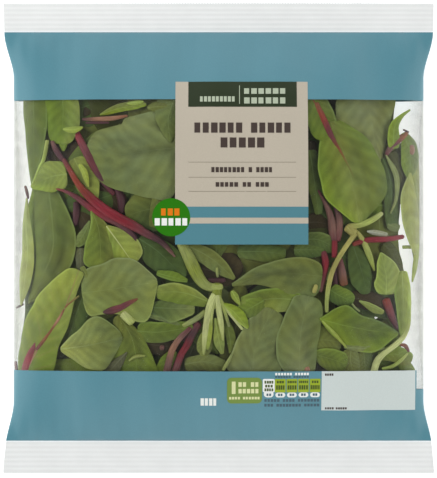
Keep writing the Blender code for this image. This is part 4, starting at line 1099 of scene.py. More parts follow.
STALKS = (
    # upper left
    Stalk("red", ("plum", "pink", "pink", "rust"), (0.8, 1.4, 1.3, 0.7), (1.2, 0.9, 0.9, 1.2),
          [(-77.5, 67.5), (-68.5, 67.5), (-60.5, 68), (-51.5, 69.5)]),
    Stalk("red", ("plum",), (0.6, 0.7, 0.5), (1.3, 1.2, 1.5), [(-75.5, 65.5), (-68.5, 65.5), (-62, 65.5)]),
    Stalk("red", ("crimson", "wine", "wine", "plum", "wine"), (1.8, 2.2, 2.4, 2.2, 2, 1.4),
          (2.8, 1.9, 1.8, 2.2, 3.1, 4.6), [(-81, 60.5), (-78, 54.5), (-74, 47), (-69, 38), (-63.5, 30.5),
          (-59, 24.5)]),
    Stalk("red", ("plum", "plum"), (2.2, 2.5, 2.2), (4.6, 4.3, 4.9), [(-57.5, 28.5), (-55, 21.5),
          (-54.5, 13.5)]),
    Stalk("red", ("mauve", "plum", "plum"), (1.1, 1.7, 1.4), (2.2, 2.1, 2.3), [(-95, 55.5), (-92, 49.5),
          (-88, 44)]),
    Stalk("red", ("wine", "brick", "brick", "crimson", "crimson", "crimson", "wine", "plum", "mauve"),
          (1.3, 1.5, 1.9, 2.6, 2.9, 3, 2.8, 2.2, 1.7, 0.8), (2.1, 1, 0.6, 0.4, 0.4, 0.4, 0.6, 1, 1.6, 2.8),
          [(-88.5, 45.5), (-84, 38), (-79, 30), (-71.5, 22), (-63.5, 15.5), (-55, 10.5), (-47, 6.5),
          (-40.5, 2.5), (-33, -1.5), (-25.5, -9)]),
    Stalk("red", ("brick", "wine", "wine", "crimson", "wine", "plum", "plum"),
          (0.5, 1, 1.7, 2.2, 2.4, 2.1, 1.9, 1.1), (1.3, 1.2, 1.3, 1.5, 1.5, 1.5, 1.8, 2.5), [(-94.5, 28.5),
          (-88, 27), (-81, 23.5), (-72.5, 17.5), (-64.5, 12.5), (-56, 8), (-49.5, 3), (-45.5, -3)]),
    Stalk("red", ("plum", "plum"), (2, 2.1, 1.4), (4, 4, 4.6), [(-80.5, 21), (-80.5, 15), (-81.5, 7)]),
    Stalk("pale", ("celery", "lime", "lime"), (1.1, 1.2, 0.9, 0.6), (1, 0.7, 0.7, 1), [(-97.5, 56),
          (-99.5, 45.5), (-102, 40), (-106, 31)]),
    Stalk("red", ("mauve", "plum"), (0.7, 0.9, 0.6), (1, 1, 1.3), [(-110.5, 30), (-109.5, 27),
          (-108.5, 22.5)]),
    # middle left
    Stalk("pale", ("mauve", "mauve"), (1, 0.8, 0.5), (2.5, 2.2, 2.8), [(-32, -2), (-28.5, -6.5),
          (-24.5, -10.5)]),
    Stalk("pale", ("celery", "celery", "sprout", "celery", "celery"), (2.5, 3.4, 3.7, 3.4, 2.6, 1.7),
          (2.2, 1.5, 1, 0.9, 1, 1.3), [(-22, -1), (-17.5, -9), (-14, -16.5), (-10.5, -23), (-6, -27),
          (2, -28)]),
    # lower left
    Stalk("red", ("wine", "crimson", "crimson", "wine"), (3.1, 3.1, 2.8, 2.2, 0.6), (1, 0.4, 0.4, 0.4, 1),
          [(-110.5, -79.5), (-109, -72), (-107, -66), (-105, -62), (-104, -58)]),
    Stalk("red", ("wine", "rust", "rust", "pink", "rust"), (1.7, 1.5, 1.3, 1.2, 1.1, 0.6),
          (0.9, 0.6, 0.6, 0.6, 0.7, 1.2), [(-104, -63.5), (-100.5, -59.5), (-97, -55), (-93.5, -50),
          (-89.5, -44), (-87.5, -40)]),
    Stalk("red", ("rust", "olive_rib"), (0.8, 0.7, 0.5), (1.3, 1, 1.5), [(-87, -39.5), (-83.5, -36),
          (-79, -32.5)]),
    Stalk("red", ("rust", "olive_rib"), (0.6, 0.5, 0.3), (1, 1, 1.3), [(-99, -55), (-100, -47.5),
          (-100.5, -41.5)]),
    Stalk("red", ("plum", "wine", "wine", "rust"), (0.7, 2.4, 2.2, 1.6, 0.5), (1.3, 0.7, 0.6, 0.6, 1),
          [(-65.5, -42), (-61.5, -41), (-55.5, -39), (-50.5, -36.5), (-45.5, -34)]),
    Stalk("pale", ("ivory", "celery"), (2.6, 2.8, 2.6), (0.9, 0.6, 0.7), [(-54.5, -41.5), (-51, -45),
          (-48, -48)]),
    Stalk("red", ("wine", "mauve", "pink", "mauve", "mauve"), (1.6, 1.7, 1.8, 2, 2.2),
          (2.5, 1.9, 1.8, 1.9, 2.3), [(-15.5, -50), (-22, -56.5), (-26, -62.5), (-28, -69), (-30, -78)]),
    Stalk("red", ("wine", "plum", "crimson", "wine", "mauve"), (2.5, 2.4, 2, 2, 2.2),
          (3.1, 2.5, 1.9, 1.9, 2.3), [(-11, -47), (-15, -54), (-18, -60.5), (-21.5, -66.5), (-25.5, -78)]),
    Stalk("red", ("plum",), (2.5, 2.5), (3.8, 3.8), [(-13, -46), (-19.5, -58.5)]),
    Stalk("red", ("mauve",), (1.8, 1.8), (4.9, 4.9), [(-33.5, -61.5), (-30.5, -62)]),
    Stalk("pale", ("celery", "mist_rib", "celery"), (1.5, 1.6, 1.2), (1.8, 1.8, 2.3), [(-7, -41),
          (-13, -45.5), (-20.5, -49.5)]),
    Stalk("red", ("plum",), (0.5, 0.7, 0.6), (1.3, 1.3), [(-116, -40), (-111.5, -37.5)]),
    Stalk("red", ("wine",), (0.9, 0.9), (1.9, 1.9), [(-116.5, -70.5), (-115.5, -78)]),
    # rosette
    Stalk("pale", ("sprout", "sprout", "celery"), (3.1, 2.8, 2.5, 2), (1.3, 1, 1, 1.2), [(-0.5, -25),
          (-1, -29.5), (-1, -34), (-1, -40)]),
    Stalk("pale", ("celery",), (1.8, 1.9, 1.5), (0.9, 0.7, 0.9), [(-4.5, -27), (-0.5, -27.5), (2.5, -27)]),
    Stalk("pale", ("ivory", "ivory", "ivory", "celery"), (2, 2, 1.8, 1.5, 0.7), (0.9, 0.4, 0.4, 0.9, 1.8),
          [(-2, -31), (-5, -38), (-7, -48.5), (-8, -57.5), (-8.5, -66)]),
    Stalk("pale", ("ivory", "ivory", "celery"), (2, 1.8, 1.5, 0.7), (0.7, 0.3, 0.4, 1.6), [(-1, -31.5),
          (0, -39.5), (1.5, -49), (2.5, -58)]),
    Stalk("pale", ("ivory", "celery"), (1.5, 1.3, 0.8), (1, 0.9, 1.5), [(-2, -32.5), (-4, -41.5),
          (-4.5, -50.5)]),
    Stalk("pale", ("celery", "celery", "mist_rib"), (1.2, 1.1, 0.8), (1, 1, 1.6), [(0, -32), (3, -40),
          (6, -50)]),
    Stalk("pale", ("celery", "ivory", "ivory"), (0.7, 0.8, 0.8, 0.8), (1.5, 1.2, 0.9, 1.2), [(1.5, -35),
          (5, -41), (9, -46), (13.5, -51.5)]),
    Stalk("pale", ("celery", "mist_rib"), (0.7, 0.8, 0.6), (2.5, 2.5, 2.9), [(-1, -16.5), (-1, -19),
          (-0.5, -22)]),
    Stalk("red", ("plum", "plum"), (1.1, 1.7, 1.1), (4.3, 4, 4.3), [(-6.5, -23.5), (-1.5, -24),
          (4, -23.5)]),
    Stalk("pale", ("mist_rib", "celery"), (0.6, 1, 0.9), (1.9, 1.8, 2.1), [(7.5, -65.5), (5.5, -69.5),
          (2.5, -75)]),
    Stalk("red", ("pink", "pink"), (2.4, 2.7, 2.4), (1.3, 1, 1.3), [(49.5, -71.5), (50, -73.5),
          (50.5, -76.5)]),
    Stalk("red", ("plum",), (1.7, 1.7), (2.8, 2.8), [(42.5, -75.5), (47.5, -75.5)]),
    Stalk("pale", ("straw_rib",), (0.9, 1.3, 0.9), (1.3, 1.2, 1.3), [(55, -26), (54.5, -28), (53.5, -31)]),
    # upper right
    Stalk("red", ("rust", "brick", "wine", "rust", "olive_rib", "olive_rib"),
          (2.4, 2.2, 2, 1.7, 1.2, 0.9, 0.5), (1.2, 0.9, 0.7, 0.6, 0.6, 0.7, 1), [(55, 77), (58, 70.5),
          (61.5, 63), (65, 55.5), (69, 48.5), (73.5, 40), (77.5, 32)]),
    Stalk("red", ("wine", "mauve", "wine", "rust", "rust"), (1, 1.7, 1.8, 1.8, 1.1),
          (1.9, 1.3, 1.2, 1.2, 1.5), [(95, 47), (97.5, 51), (101, 54.5), (105, 58), (108, 60.5)]),
    Stalk("red", ("plum",), (0.5, 0.6), (1.3, 1.3), [(105, 62), (108.5, 60.5)]),
    Stalk("red", ("pink", "pink"), (1.7, 2, 1.5), (1.2, 0.9, 1.2), [(109.5, 53.5), (110, 50.5),
          (109.5, 47.5)]),
    # lower right
    Stalk("red", ("wine", "mauve", "mauve", "mauve", "wine"), (0.7, 1.3, 1.9, 2.5, 2.2),
          (4, 3.4, 2.9, 2.8, 3.1), [(56, 27.5), (60.5, 19.5), (63.5, 11.5), (64.5, 4.5), (65.5, -2.5)]),
    Stalk("red", ("plum", "mauve", "wine"), (1.7, 2.2, 2.2, 1.7), (4, 3.4, 3.1, 3.4), [(66.5, 18.5),
          (68, 11.5), (68, 4.5), (67, -2)]),
    Stalk("red", ("crimson", "crimson"), (1.6, 1.7, 1.6), (2.3, 2.1, 2.3), [(65.5, -1), (65.5, -5.5),
          (65.5, -11)]),
    Stalk("red", ("wine", "crimson", "wine", "mauve"), (1.7, 2.1, 2.2, 2), (3.4, 2.8, 2.5, 3.4), [(59, -7),
          (60.5, -13.5), (59, -21.5), (57, -30.5)]),
    Stalk("red", ("wine", "mauve", "rust"), (1.9, 2.6, 2.5), (3.1, 2.5, 3.1), [(68, -11), (69.5, -19),
          (71, -27)]),
    Stalk("red", ("plum", "plum"), (1.5, 1.7), (4.3, 4.3), [(65.5, -13.5), (66, -27)]),
    Stalk("red", ("brick", "crimson", "crimson", "crimson"), (1.3, 1.7, 1.6, 1.3), (1.6, 1.2, 1, 1.5),
          [(75.5, -3.5), (84.5, -1), (95, -0.5), (105.5, 1)]),
    Stalk("red", ("brick", "wine", "plum"), (2.5, 2.5, 2, 0.9), (2.8, 2.2, 2.2, 2.8), [(95, -34), (97, -40),
          (99.5, -46.5), (102, -52)]),
    Stalk("red", ("rust", "wine"), (0.7, 1.2, 0.9), (1.9, 1.6, 1.9), [(103, -60.5), (106.5, -61.5),
          (108.5, -65)]),
    Stalk("pale", ("ivory", "celery", "celery", "straw_rib"), (1.2, 1.7, 1.7, 1.7), (1.2, 0.7, 0.7, 0.9),
          [(93, 14.5), (88, 11), (81.5, 8), (74, 6.5)]),
    Stalk("pale", ("straw_rib", "straw_rib"), (2.8, 2.8, 2.5), (1, 0.9, 0.9), [(72, 7), (75, 4.5),
          (77.5, 2)]),
    Stalk("pale", ("straw_rib", "straw_rib", "straw_rib", "straw_rib", "celery", "celery"),
          (1.5, 1.4, 1.4, 1.4, 1.4, 1.2, 1), (0.9, 0.6, 0.4, 0.4, 0.7, 0.9, 1.3), [(77.5, 3), (72, -4.5),
          (67.5, -11.5), (64, -19), (62, -27), (61, -35), (61, -42)]),
    Stalk("pale", ("straw_rib", "celery", "sprout"), (1.2, 1.7, 1.7, 0.7), (1.6, 1.3, 1.8, 2.8), [(78, 4),
          (82, -2), (85.5, -10), (88.5, -18.5)]),
    Stalk("pale", ("celery", "lime", "celery", "ivory", "ivory", "ivory"),
          (1.1, 1.5, 1.5, 1.5, 1.6, 1.7, 2, 2), (1.5, 0.9, 0.6, 0.6, 0.6, 0.6, 0.7, 1), [(107.5, -26.5),
          (108, -38.5), (108, -49), (105, -56.5), (99, -62), (93.5, -66), (90, -70.5), (88, -78.5)]),
    Stalk("pale", ("celery", "lime"), (0.6, 1.1, 1.1, 1), (1.3, 1, 1.2, 1.5), [(108, -65.5), (104, -69.5),
          (99, -73), (93, -74.5)]),
    Stalk("pale", ("mist_rib",), (0.5, 0.6, 0.5), (1.2, 1, 1.2), [(75.5, -37), (77.5, -39.5), (80, -41.5)]),
)

# Room that a front leaf keeps from the side fold, that a leaf keeps from the back film, and its least depth
FOLD_ROOM = 2.4
BACK_ROOM = 0.7
LEAST_DEPTH = 0.4

# Highlight place of an edge with no painted highlight, beyond every highlighted width
NO_RIM_HIGHLIGHT = 9.0

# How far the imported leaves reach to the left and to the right, evenly spaced down the window
LEFT_REACH = (111, 109, 106, 107, 111.5, 112, 112, 111, 113.5, 115)
RIGHT_REACH = (101, 100.5, 110, 112, 103.5, 103, 107, 107, 104, 108)
REACH_TOP = 79.0
REACH_BOTTOM = -75.5


def packed_reach(y, right):
    """How far the salad reaches on a row, with the right side's figure where right holds."""
    place = ((REACH_TOP - y) / (REACH_TOP - REACH_BOTTOM)).ravel()
    reach = np.where(right.ravel(), smooth_values(RIGHT_REACH, place), smooth_values(LEFT_REACH, place))
    return reach.reshape(y.shape)


def smooth_values(values, places):
    """Values at places from 0 to 1 on a curve through evenly spaced ones: in each gap the cubic whose
    slope at either end is half the step between that value's neighbours."""
    values = np.array(values, float)
    slope = np.gradient(values, axis=0)
    spot = np.clip(places, 0, 1) * (len(values) - 1)
    i = np.minimum(spot.astype(int), len(values) - 2)
    f = (spot - i).reshape(-1, *[1] * (values.ndim - 1))
    start = values[i] * (1 + 2 * f) * (1 - f) ** 2 + slope[i] * f * (1 - f) ** 2
    return start + values[i + 1] * f**2 * (3 - 2 * f) + slope[i + 1] * f**2 * (f - 1)


def smooth_line(points, places):
    """The smooth curve through the points, read in even steps of its own length at places from 0 to 1."""
    curve = smooth_values(points, np.linspace(0, 1, 300))
    length = np.concatenate([[0], np.cumsum(np.linalg.norm(np.diff(curve, axis=0), axis=1))])
    return np.stack(
        [np.interp(places * length[-1], length, curve[:, k]) for k in (0, 1)], axis=1
    ), length[-1]


def at_least(value, floor, softness=0.3):
    """value, but never under floor: f + (d + sqrt(d^2 + s^2)) / 2 with d = value - f."""
    over = value - floor
    return floor + (over + np.sqrt(over**2 + softness**2)) / 2


# A crease's half width and depth in millimetres, and how much painted shade darkens its floor
CREASE_WIDTH = 1.7
CREASE_DEPTH = 0.8
CREASE_SHADE = 0.3

# How far a leaf's edges drop as a share of its size, and the size from which they drop no further
CUP = 0.06
CUP_SIZE = 10.0

# Waviness of an outline as a share of its reach: slow waves, then quick ones
OUTLINE_WAVES = (0.03, 0.018)

# Heights in millimetres of the puckers between side veins, of a leaf's slow swell and of its quick one
PUCKER = 0.2
SWELLS = (0.35, 0.25)

# Leaves smaller than this have no creases but their own
CREASED_SIZE = 6.0


def rounded(widths, t, length):
    """A leaf's reach to one side, closed at both ends by a blunt corner, (1 - (1 - c)^3)^(1/3)."""
    reach = np.maximum(smooth_values(widths, t), 0.3)
    base = np.clip(t * length / max(0.6 * widths[0], 0.5), 0, 1)
    tip = np.clip((1 - t) * length / max(0.6 * widths[-1], 0.5), 0, 1)
    return np.maximum(reach * np.cbrt(1 - (1 - base) ** 3) * np.cbrt(1 - (1 - tip) ** 3), 0.1)


def leaf_shape(leaf, blade, random, along, across, side, edges):
    """Top and bottom sheets of one leaf and what its points carry.

    With t from base to tip and v from edge to edge, the place is line(t) + right(t) v w(t), w being the
    reach to that side times a wavy edge 1 + sum of sines. The top lies under the film by depth(t) + size
    cup v^2 + ruffle |v|^2.2 (1 + sin) + puckers between the side veins + slow swells + creases e^(-(d /
    width)^2). The blade thins to its edges and swells along the midrib below. edges keeps it within the
    packed salad."""
    kind = KINDS[leaf.kind]
    t = (1 - np.cos(np.pi * np.linspace(0, 1, along))) / 2
    v = np.sin(np.pi / 2 * np.linspace(-1, 1, across))
    line, length = smooth_line(leaf.path, t)
    heading = np.gradient(line, axis=0)
    heading /= np.linalg.norm(heading, axis=1, keepdims=True)
    right = np.stack([heading[:, 1], -heading[:, 0]], axis=1)
    reaches = [rounded(widths, t, length)[:, None] for widths in (leaf.left, leaf.right)]
    size = (max(leaf.left) + max(leaf.right)) / 2
    phases = random.uniform(0, 2 * np.pi, 9)
    tt, vv = np.meshgrid(t, v, indexing="ij")
    uneven = np.where(vv < 0, np.sin(9.0 * tt + phases[0]), np.sin(8.0 * tt + phases[1]))
    quick = np.where(vv < 0, np.sin(23 * tt + phases[2]), np.sin(21 * tt + phases[3]))
    uneven = uneven * OUTLINE_WAVES[0] + quick * OUTLINE_WAVES[1]
    reach = np.where(vv < 0, reaches[0], reaches[1]) * (1 + uneven * np.abs(vv))
    x = line[:, :1] + right[:, :1] * vv * reach
    y = line[:, 1:] + right[:, 1:] * vv * reach
    room = packed_reach(y, x > 0) if edges else half_width(y) - FOLD_ROOM
    x = np.sign(x) * (room - at_least(room - np.abs(x), 0.0, 0.8))
    waves = np.where(vv < 0, np.sin(length / 5.0 * tt + phases[4]), np.sin(length / 6.0 * tt + phases[5]))
    vein_place = 2 * np.pi * (kind.veins * tt - 0.9 * np.abs(vv) * size / length * kind.veins)
    pucker = PUCKER * np.cos(vein_place) * np.abs(vv) * (1 - vv**2) * min(1.0, size / 8)
    broad = min(1.0, size / 10)
    swell = SWELLS[0] * np.sin(3.1 * tt + 2.2 * vv + phases[6]) * broad
    crossed = np.sin(length / 6.0 * tt + phases[7]) * np.sin(size / 5.0 * vv + phases[8])
    swell = swell + SWELLS[1] * crossed * broad
    depth = smooth_values(leaf.depth, t)[:, None] + min(size, CUP_SIZE) * CUP * vv**2
    depth = depth + kind.ruffle * np.abs(vv) ** 2.2 * (1 + waves) + pucker + swell
    shade = 1 + 0 * tt
    chance = random.uniform(size=(2, 3))
    folds = list(leaf.creases)
    if size > CREASED_SIZE and not edges:
        for a, b, c in chance:
            folds.append((1.4 * a - 0.7, 1.4 * b - 0.7, 0.05 + 0.2 * c, 0.75 + 0.2 * c, 0.3 + 0.3 * b))
    for start, end, first, last, strength in folds:
        run = np.clip((tt - first) / (last - first), 0, 1)
        away = (vv - start - (end - start) * run) * reach
        fold = strength * np.exp(-((away / CREASE_WIDTH) ** 2)) * np.sqrt(np.sin(np.pi * run))
        depth = depth + CREASE_DEPTH * fold
        # Painted shade: the tint darkens along the floor of each crease
        shade = shade - CREASE_SHADE * fold
    off_rib = np.abs(vv) * reach
    rib = 0.55 * kind.rib_width * np.exp(-((off_rib / kind.rib_width) ** 2)) * (1 - 0.75 * tt)
    thick = blade * (1 - 0.65 * vv**2) + rib
    if side == "front":
        top = front_level(x, y) - at_least(depth, LEAST_DEPTH)
        top = at_least(top, back_level(x, y) + BACK_ROOM + thick)
        bottom = top - thick
    else:
        bottom = back_level(x, y) + at_least(depth, BACK_ROOM)
        bottom = front_level(x, y) - at_least(front_level(x, y) - bottom, LEAST_DEPTH + thick)
        top = bottom + thick
    top = np.stack([x, y, top], axis=-1)
    bottom = np.stack([x, y, bottom], axis=-1)
    rib_name = leaf.rib or kind.rib
    rib_width = 0.12 if rib_name == "faint" else 0.5 * kind.rib_width
    fade = np.clip(1.15 - tt, 0, 1) * (1 - 0.6 * np.abs(vv))
    # Painted highlight: the lit sides carry their distance from the edge, the others a place beyond any
    # highlight
    lit = (leaf.rim == 2) | (np.sign(vv) == leaf.rim)
    carried = {
        "rib_place": off_rib / np.clip(rib_width * (1.15 - tt), 0.1, None),
        "vein_place": vein_place,
        "vein_force": kind.vein_force * fade,
        "edge_place": np.where(lit, (1 - np.abs(vv)) * reach, NO_RIM_HIGHLIGHT),
    }
    return top, bottom, carried, rib_name, blend_across(tt, vv), shade


def blend_across(t, v):
    """Shares of a leaf's six tints: left, middle and right at the base, then at the tip."""
    left = np.clip(-v, 0, 1)
    right = np.clip(v, 0, 1)
    across = np.stack([left, 1 - left - right, right], axis=-1)
    tip = (t**2 * (3 - 2 * t))[..., None]
    return np.concatenate([across * (1 - tip), across * tip], axis=-1)


def six_tints(colours, names):
    """A leaf's tints as six colours, from one, two, three, four or six names."""
    tints = [np.array(getattr(colours, name)) for name in names]
    if len(tints) == 1:
        tints = tints * 3
    if len(tints) in (2, 4):
        pairs = [tints[i : i + 2] for i in range(0, len(tints), 2)]
        tints = [tint for a, b in pairs for tint in (a, (a + b) / 2, b)]
    return np.array(tints * 2 if len(tints) == 3 else tints)


def add_leaf(heap, leaf, colours, stalk_colours, blade, random, side="front", edges=False):
    """Builds a leaf, gives it its own shade of its tints, darkened by painted shade along its creases, and
    puts it on the heap. Its grid follows its size."""
    size = max(leaf.left) + max(leaf.right)
    length = sum(np.hypot(*np.subtract(b, a)) for a, b in zip(leaf.path, leaf.path[1:]))
    along = 18 if edges else int(np.clip(length / 1.4, 18, 46))
    across = 9 if edges else 2 * int(np.clip(size / 3.2, 4, 11)) + 1
    top, bottom, carried, rib_name, shares, shade = leaf_shape(
        leaf, blade, random, along, across, side, edges
    )
    points, faces = closed_sheet(top, bottom)
    own = random.normal(1.0, 0.025) * np.array([random.normal(1.0, 0.02), 1.0, random.normal(1.0, 0.03)])
    tint = np.clip(shares @ six_tints(colours, leaf.tints) * own * shade[..., None], 0, 1).reshape(-1, 3)
    if rib_name in ("green", "faint"):
        rib_tint = np.clip(tint * 1.25 + 0.015, 0, 1)
    else:
        rib_tint = np.broadcast_to(np.array(getattr(stalk_colours, rib_name)), tint.shape)
    values = {key: np.tile(value.ravel(), 2) for key, value in carried.items()}
    values["tint"] = np.concatenate([tint, tint])
    values["rib_tint"] = np.concatenate([rib_tint, rib_tint])
    heap.add(points, faces, **values)


STALK_RINGS = 34
STALK_SIDES = 12


def add_stalk(heap, stalk, colours, random):
    """A tube along the stalk's line: round rings of radius r(t) (1 + 0.05 cos 3a), whose top lies under
    the film by the stalk's depth, drawn in over the last radius at each end."""
    count, around = STALK_RINGS, STALK_SIDES
    t = (1 - np.cos(np.pi * np.linspace(0, 1, count))) / 2
    line, length = smooth_line(stalk.path, t)
    radius = smooth_values(stalk.radii, t)
    end = np.minimum(t, 1 - t) * length / (0.5 * max(stalk.radii))
    drawn = radius * np.sqrt(np.clip(1 - (1 - np.clip(end, 0, 1)) ** 2, 0.01, 1))
    top = front_level(line[:, 0], line[:, 1]) - np.maximum(smooth_values(stalk.depth, t), LEAST_DEPTH)
    low = back_level(line[:, 0], line[:, 1]) + BACK_ROOM
    centre = np.column_stack([line, np.maximum(top - radius, low + radius)])
    heading = np.gradient(centre, axis=0)
    heading /= np.linalg.norm(heading, axis=1, keepdims=True)
    right = np.cross(heading, [0.0, 0.0, 1.0])
    right /= np.linalg.norm(right, axis=1, keepdims=True)
    up = np.cross(right, heading)
    a = np.linspace(0, 2 * np.pi, around, endpoint=False)
    groove = 1 + 0.05 * np.cos(3 * a + random.uniform(0, 6))
    size = drawn[:, None] * groove[None, :]
    rings = centre[:, None, :] + (size * np.cos(a))[..., None] * right[:, None, :]
    rings = rings + (size * np.sin(a))[..., None] * up[:, None, :]
    points, faces = tube(rings)
    names = stalk.tints if len(stalk.tints) > 1 else stalk.tints * 2
    tints = smooth_values([getattr(colours, name) for name in names], t) * random.normal(1.0, 0.03)
    tone = 1 + 0.1 * np.sin(length / 4 * t + random.uniform(0, 6))
    carried = np.clip(tints * tone[:, None], 0, 1)[:, None, :]
    uv = np.stack(np.broadcast_arrays((a / (2 * np.pi))[None, :], (t * length / 20)[:, None]), axis=-1)
    tint = np.broadcast_to(carried, (count, around, 3)).reshape(-1, 3)
    heap.add(points, faces, tint=tint, uv=uv.reshape(-1, 2))


FILL_TINTS = ("mid", "olive", "olive", "dark", "dark", "grey", "deep", "bright")
BACK_TINTS = ("mid", "mid", "olive", "dark", "grey", "bright", "pale", "deep")
WINDOW_REACH = 93.0
SCATTER_REACH = 106.0
FILL_DEPTHS = (5.4, 11.5)
BACK_DEPTHS = (1.0, 6.0)
LEAF_SHARP = 70.0


def scattered_leaves(count, random, depth, tints):
    """Leaves on a loose grid, one to a cell at a chance place and heading, so that none bunch up. depth
    gives the least and greatest depth."""
    left, right = -SCATTER_REACH, SCATTER_REACH
    columns = int(np.ceil(np.sqrt(count * (right - left) / (2 * WINDOW_REACH))))
    rows = int(np.ceil(count / columns))
    cells = random.permutation(columns * rows)[:count]
    middle_x = left + (cells % columns + random.uniform(0.1, 0.9, count)) * (right - left) / columns
    down = cells // columns + random.uniform(0.1, 0.9, count)
    middle_y = -WINDOW_REACH + down * 2 * WINDOW_REACH / rows
    heading = random.uniform(0, 2 * np.pi, count)
    length = random.uniform(34, 58, count)
    width = length * random.uniform(0.42, 0.6, count)
    bend = random.uniform(-0.18, 0.18, count) * length
    deep = random.uniform(*depth, count)
    kinds = random.choice(["spinach", "spinach", "lettuce", "chard"], count)
    outline = np.array([0.1, 0.75, 1.0, 0.8, 0.15])
    names = random.choice(tints, count)
    made = []
    for i in range(count):
        ahead = np.array([np.cos(heading[i]), np.sin(heading[i])])
        aside = np.array([-ahead[1], ahead[0]])
        centre = np.array([middle_x[i], middle_y[i]])
        path = [centre - ahead * length[i] / 2, centre + aside * bend[i], centre + ahead * length[i] / 2]
        path = [(np.clip(px, left - 6, right + 6), np.clip(py, -102, 102)) for px, py in path]
        if np.linalg.norm(np.array(path[0]) - path[2]) < 12:
            continue
        slope = random.uniform(-1.5, 1.5)
        depths = (deep[i] + slope, deep[i], deep[i] - slope)
        reach = outline * width[i] / 2
        made.append(Leaf(str(kinds[i]), (str(names[i]),), depths, path, reach, reach))
    return made


def build_front_leaves(leaves, stalks):
    """The leaves that show through the window, one piece for each kind."""
    random = np.random.default_rng(leaves.seed)
    blade = leaf_blade()
    for kind in KINDS:
        heap = Heap()
        for leaf in FRONT_LEAVES:
            if leaf.kind == kind:
                add_leaf(heap, leaf, leaves, stalks, leaves.blade, random)
        make_piece(kind + "_leaves", heap, [blade], LEAF_SHARP)


def build_fill_leaves(leaves, stalks):
    """The leaves packed below the first ones, and those that lie along the back and the sides."""
    blade = bpy.data.materials.get("fresh_leaf_blade") or leaf_blade()
    random = np.random.default_rng(leaves.seed + 1)
    heap = Heap()
    for leaf in scattered_leaves(leaves.fill_leaves, random, FILL_DEPTHS, FILL_TINTS):
        add_leaf(heap, leaf, leaves, stalks, leaves.blade, random, edges=True)
    make_piece("fill_leaves", heap, [blade], LEAF_SHARP)
    heap = Heap()
    for leaf in scattered_leaves(leaves.back_leaves, random, BACK_DEPTHS, BACK_TINTS):
        add_leaf(heap, leaf, leaves, stalks, leaves.blade, random, side="back", edges=True)
    make_piece("back_leaves", heap, [blade], LEAF_SHARP)


def build_stalks(stalks, seed):
    """Red chard stalks and pale rosette stalks, one piece each."""
    random = np.random.default_rng(seed + 2)
    for kind, slot in (("red", "red_stem"), ("pale", "pale_stem")):
        heap = Heap()
        for stalk in STALKS:
            if stalk.kind == kind:
                add_stalk(heap, stalk, stalks, random)
        make_piece(kind + "_stalks", heap, [stalk_flesh(kind + "_stalk_flesh")], 60.0)


HEART_HALF_WIDTH = 80.0
HEART_HALF_LENGTH = 92.0
HEART_LEVEL = 22.0
HEART_FRONT_ROOM = 12.5
HEART_BACK_ROOM = 6.5


def build_heart(leaves):
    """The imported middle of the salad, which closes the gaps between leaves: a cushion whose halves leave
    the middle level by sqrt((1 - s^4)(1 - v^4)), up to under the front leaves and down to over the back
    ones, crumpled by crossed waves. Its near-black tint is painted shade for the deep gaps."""
    v, s = np.meshgrid(np.linspace(-1, 1, 70), np.linspace(-1, 1, 70), indexing="ij")
    x, y = s * HEART_HALF_WIDTH, v * HEART_HALF_LENGTH
    full = np.sqrt(np.clip((1 - s**4) * (1 - v**4), 0, 1))
    crumple = np.sin(x / 5.0 + 2 * np.sin(y / 9.0)) * np.cos(y / 6.0 + np.sin(x / 8.0))
    high = front_level(x, y) - HEART_FRONT_ROOM + 1.4 * crumple
    low = back_level(x, y) + HEART_BACK_ROOM + 1.2 * crumple
    top = np.stack([x, y, HEART_LEVEL + 0.1 + (high - HEART_LEVEL) * full], axis=-1)
    bottom = np.stack([x, y, HEART_LEVEL - (HEART_LEVEL - low) * full], axis=-1)
    points, faces = closed_sheet(top, bottom)
    tint = np.broadcast_to(np.array(leaves.heart), (len(points), 3))
    zero = np.zeros(len(points))
    heap = Heap()
    plain = {"rib_place": zero + 9, "vein_place": zero, "vein_force": zero, "edge_place": zero + NO_RIM_HIGHLIGHT}
    heap.add(points, faces, tint=tint, rib_tint=tint, **plain)
    blade = bpy.data.materials.get("fresh_leaf_blade") or leaf_blade()
    make_piece("packed_heart", heap, [blade], LEAF_SHARP)


# ---------------------------------------------------------------- floor, light and camera

FLOOR_REACH = 40.0
FLOOR_DROP = 0.0004

# Each lamp's name, its place in metres and its share of the power
LAMPS = (("left_lamp", (-1.25, 0.3, 0.9), 0.62), ("right_lamp", (1.25, -0.15, 0.9), 0.38))
LAMP_SIZE = 0.9

# Sine of the height at which the even light starts to dim under the dark hood above, and where it is
# dimmest
HOOD_EDGE = (0.6, 0.85)


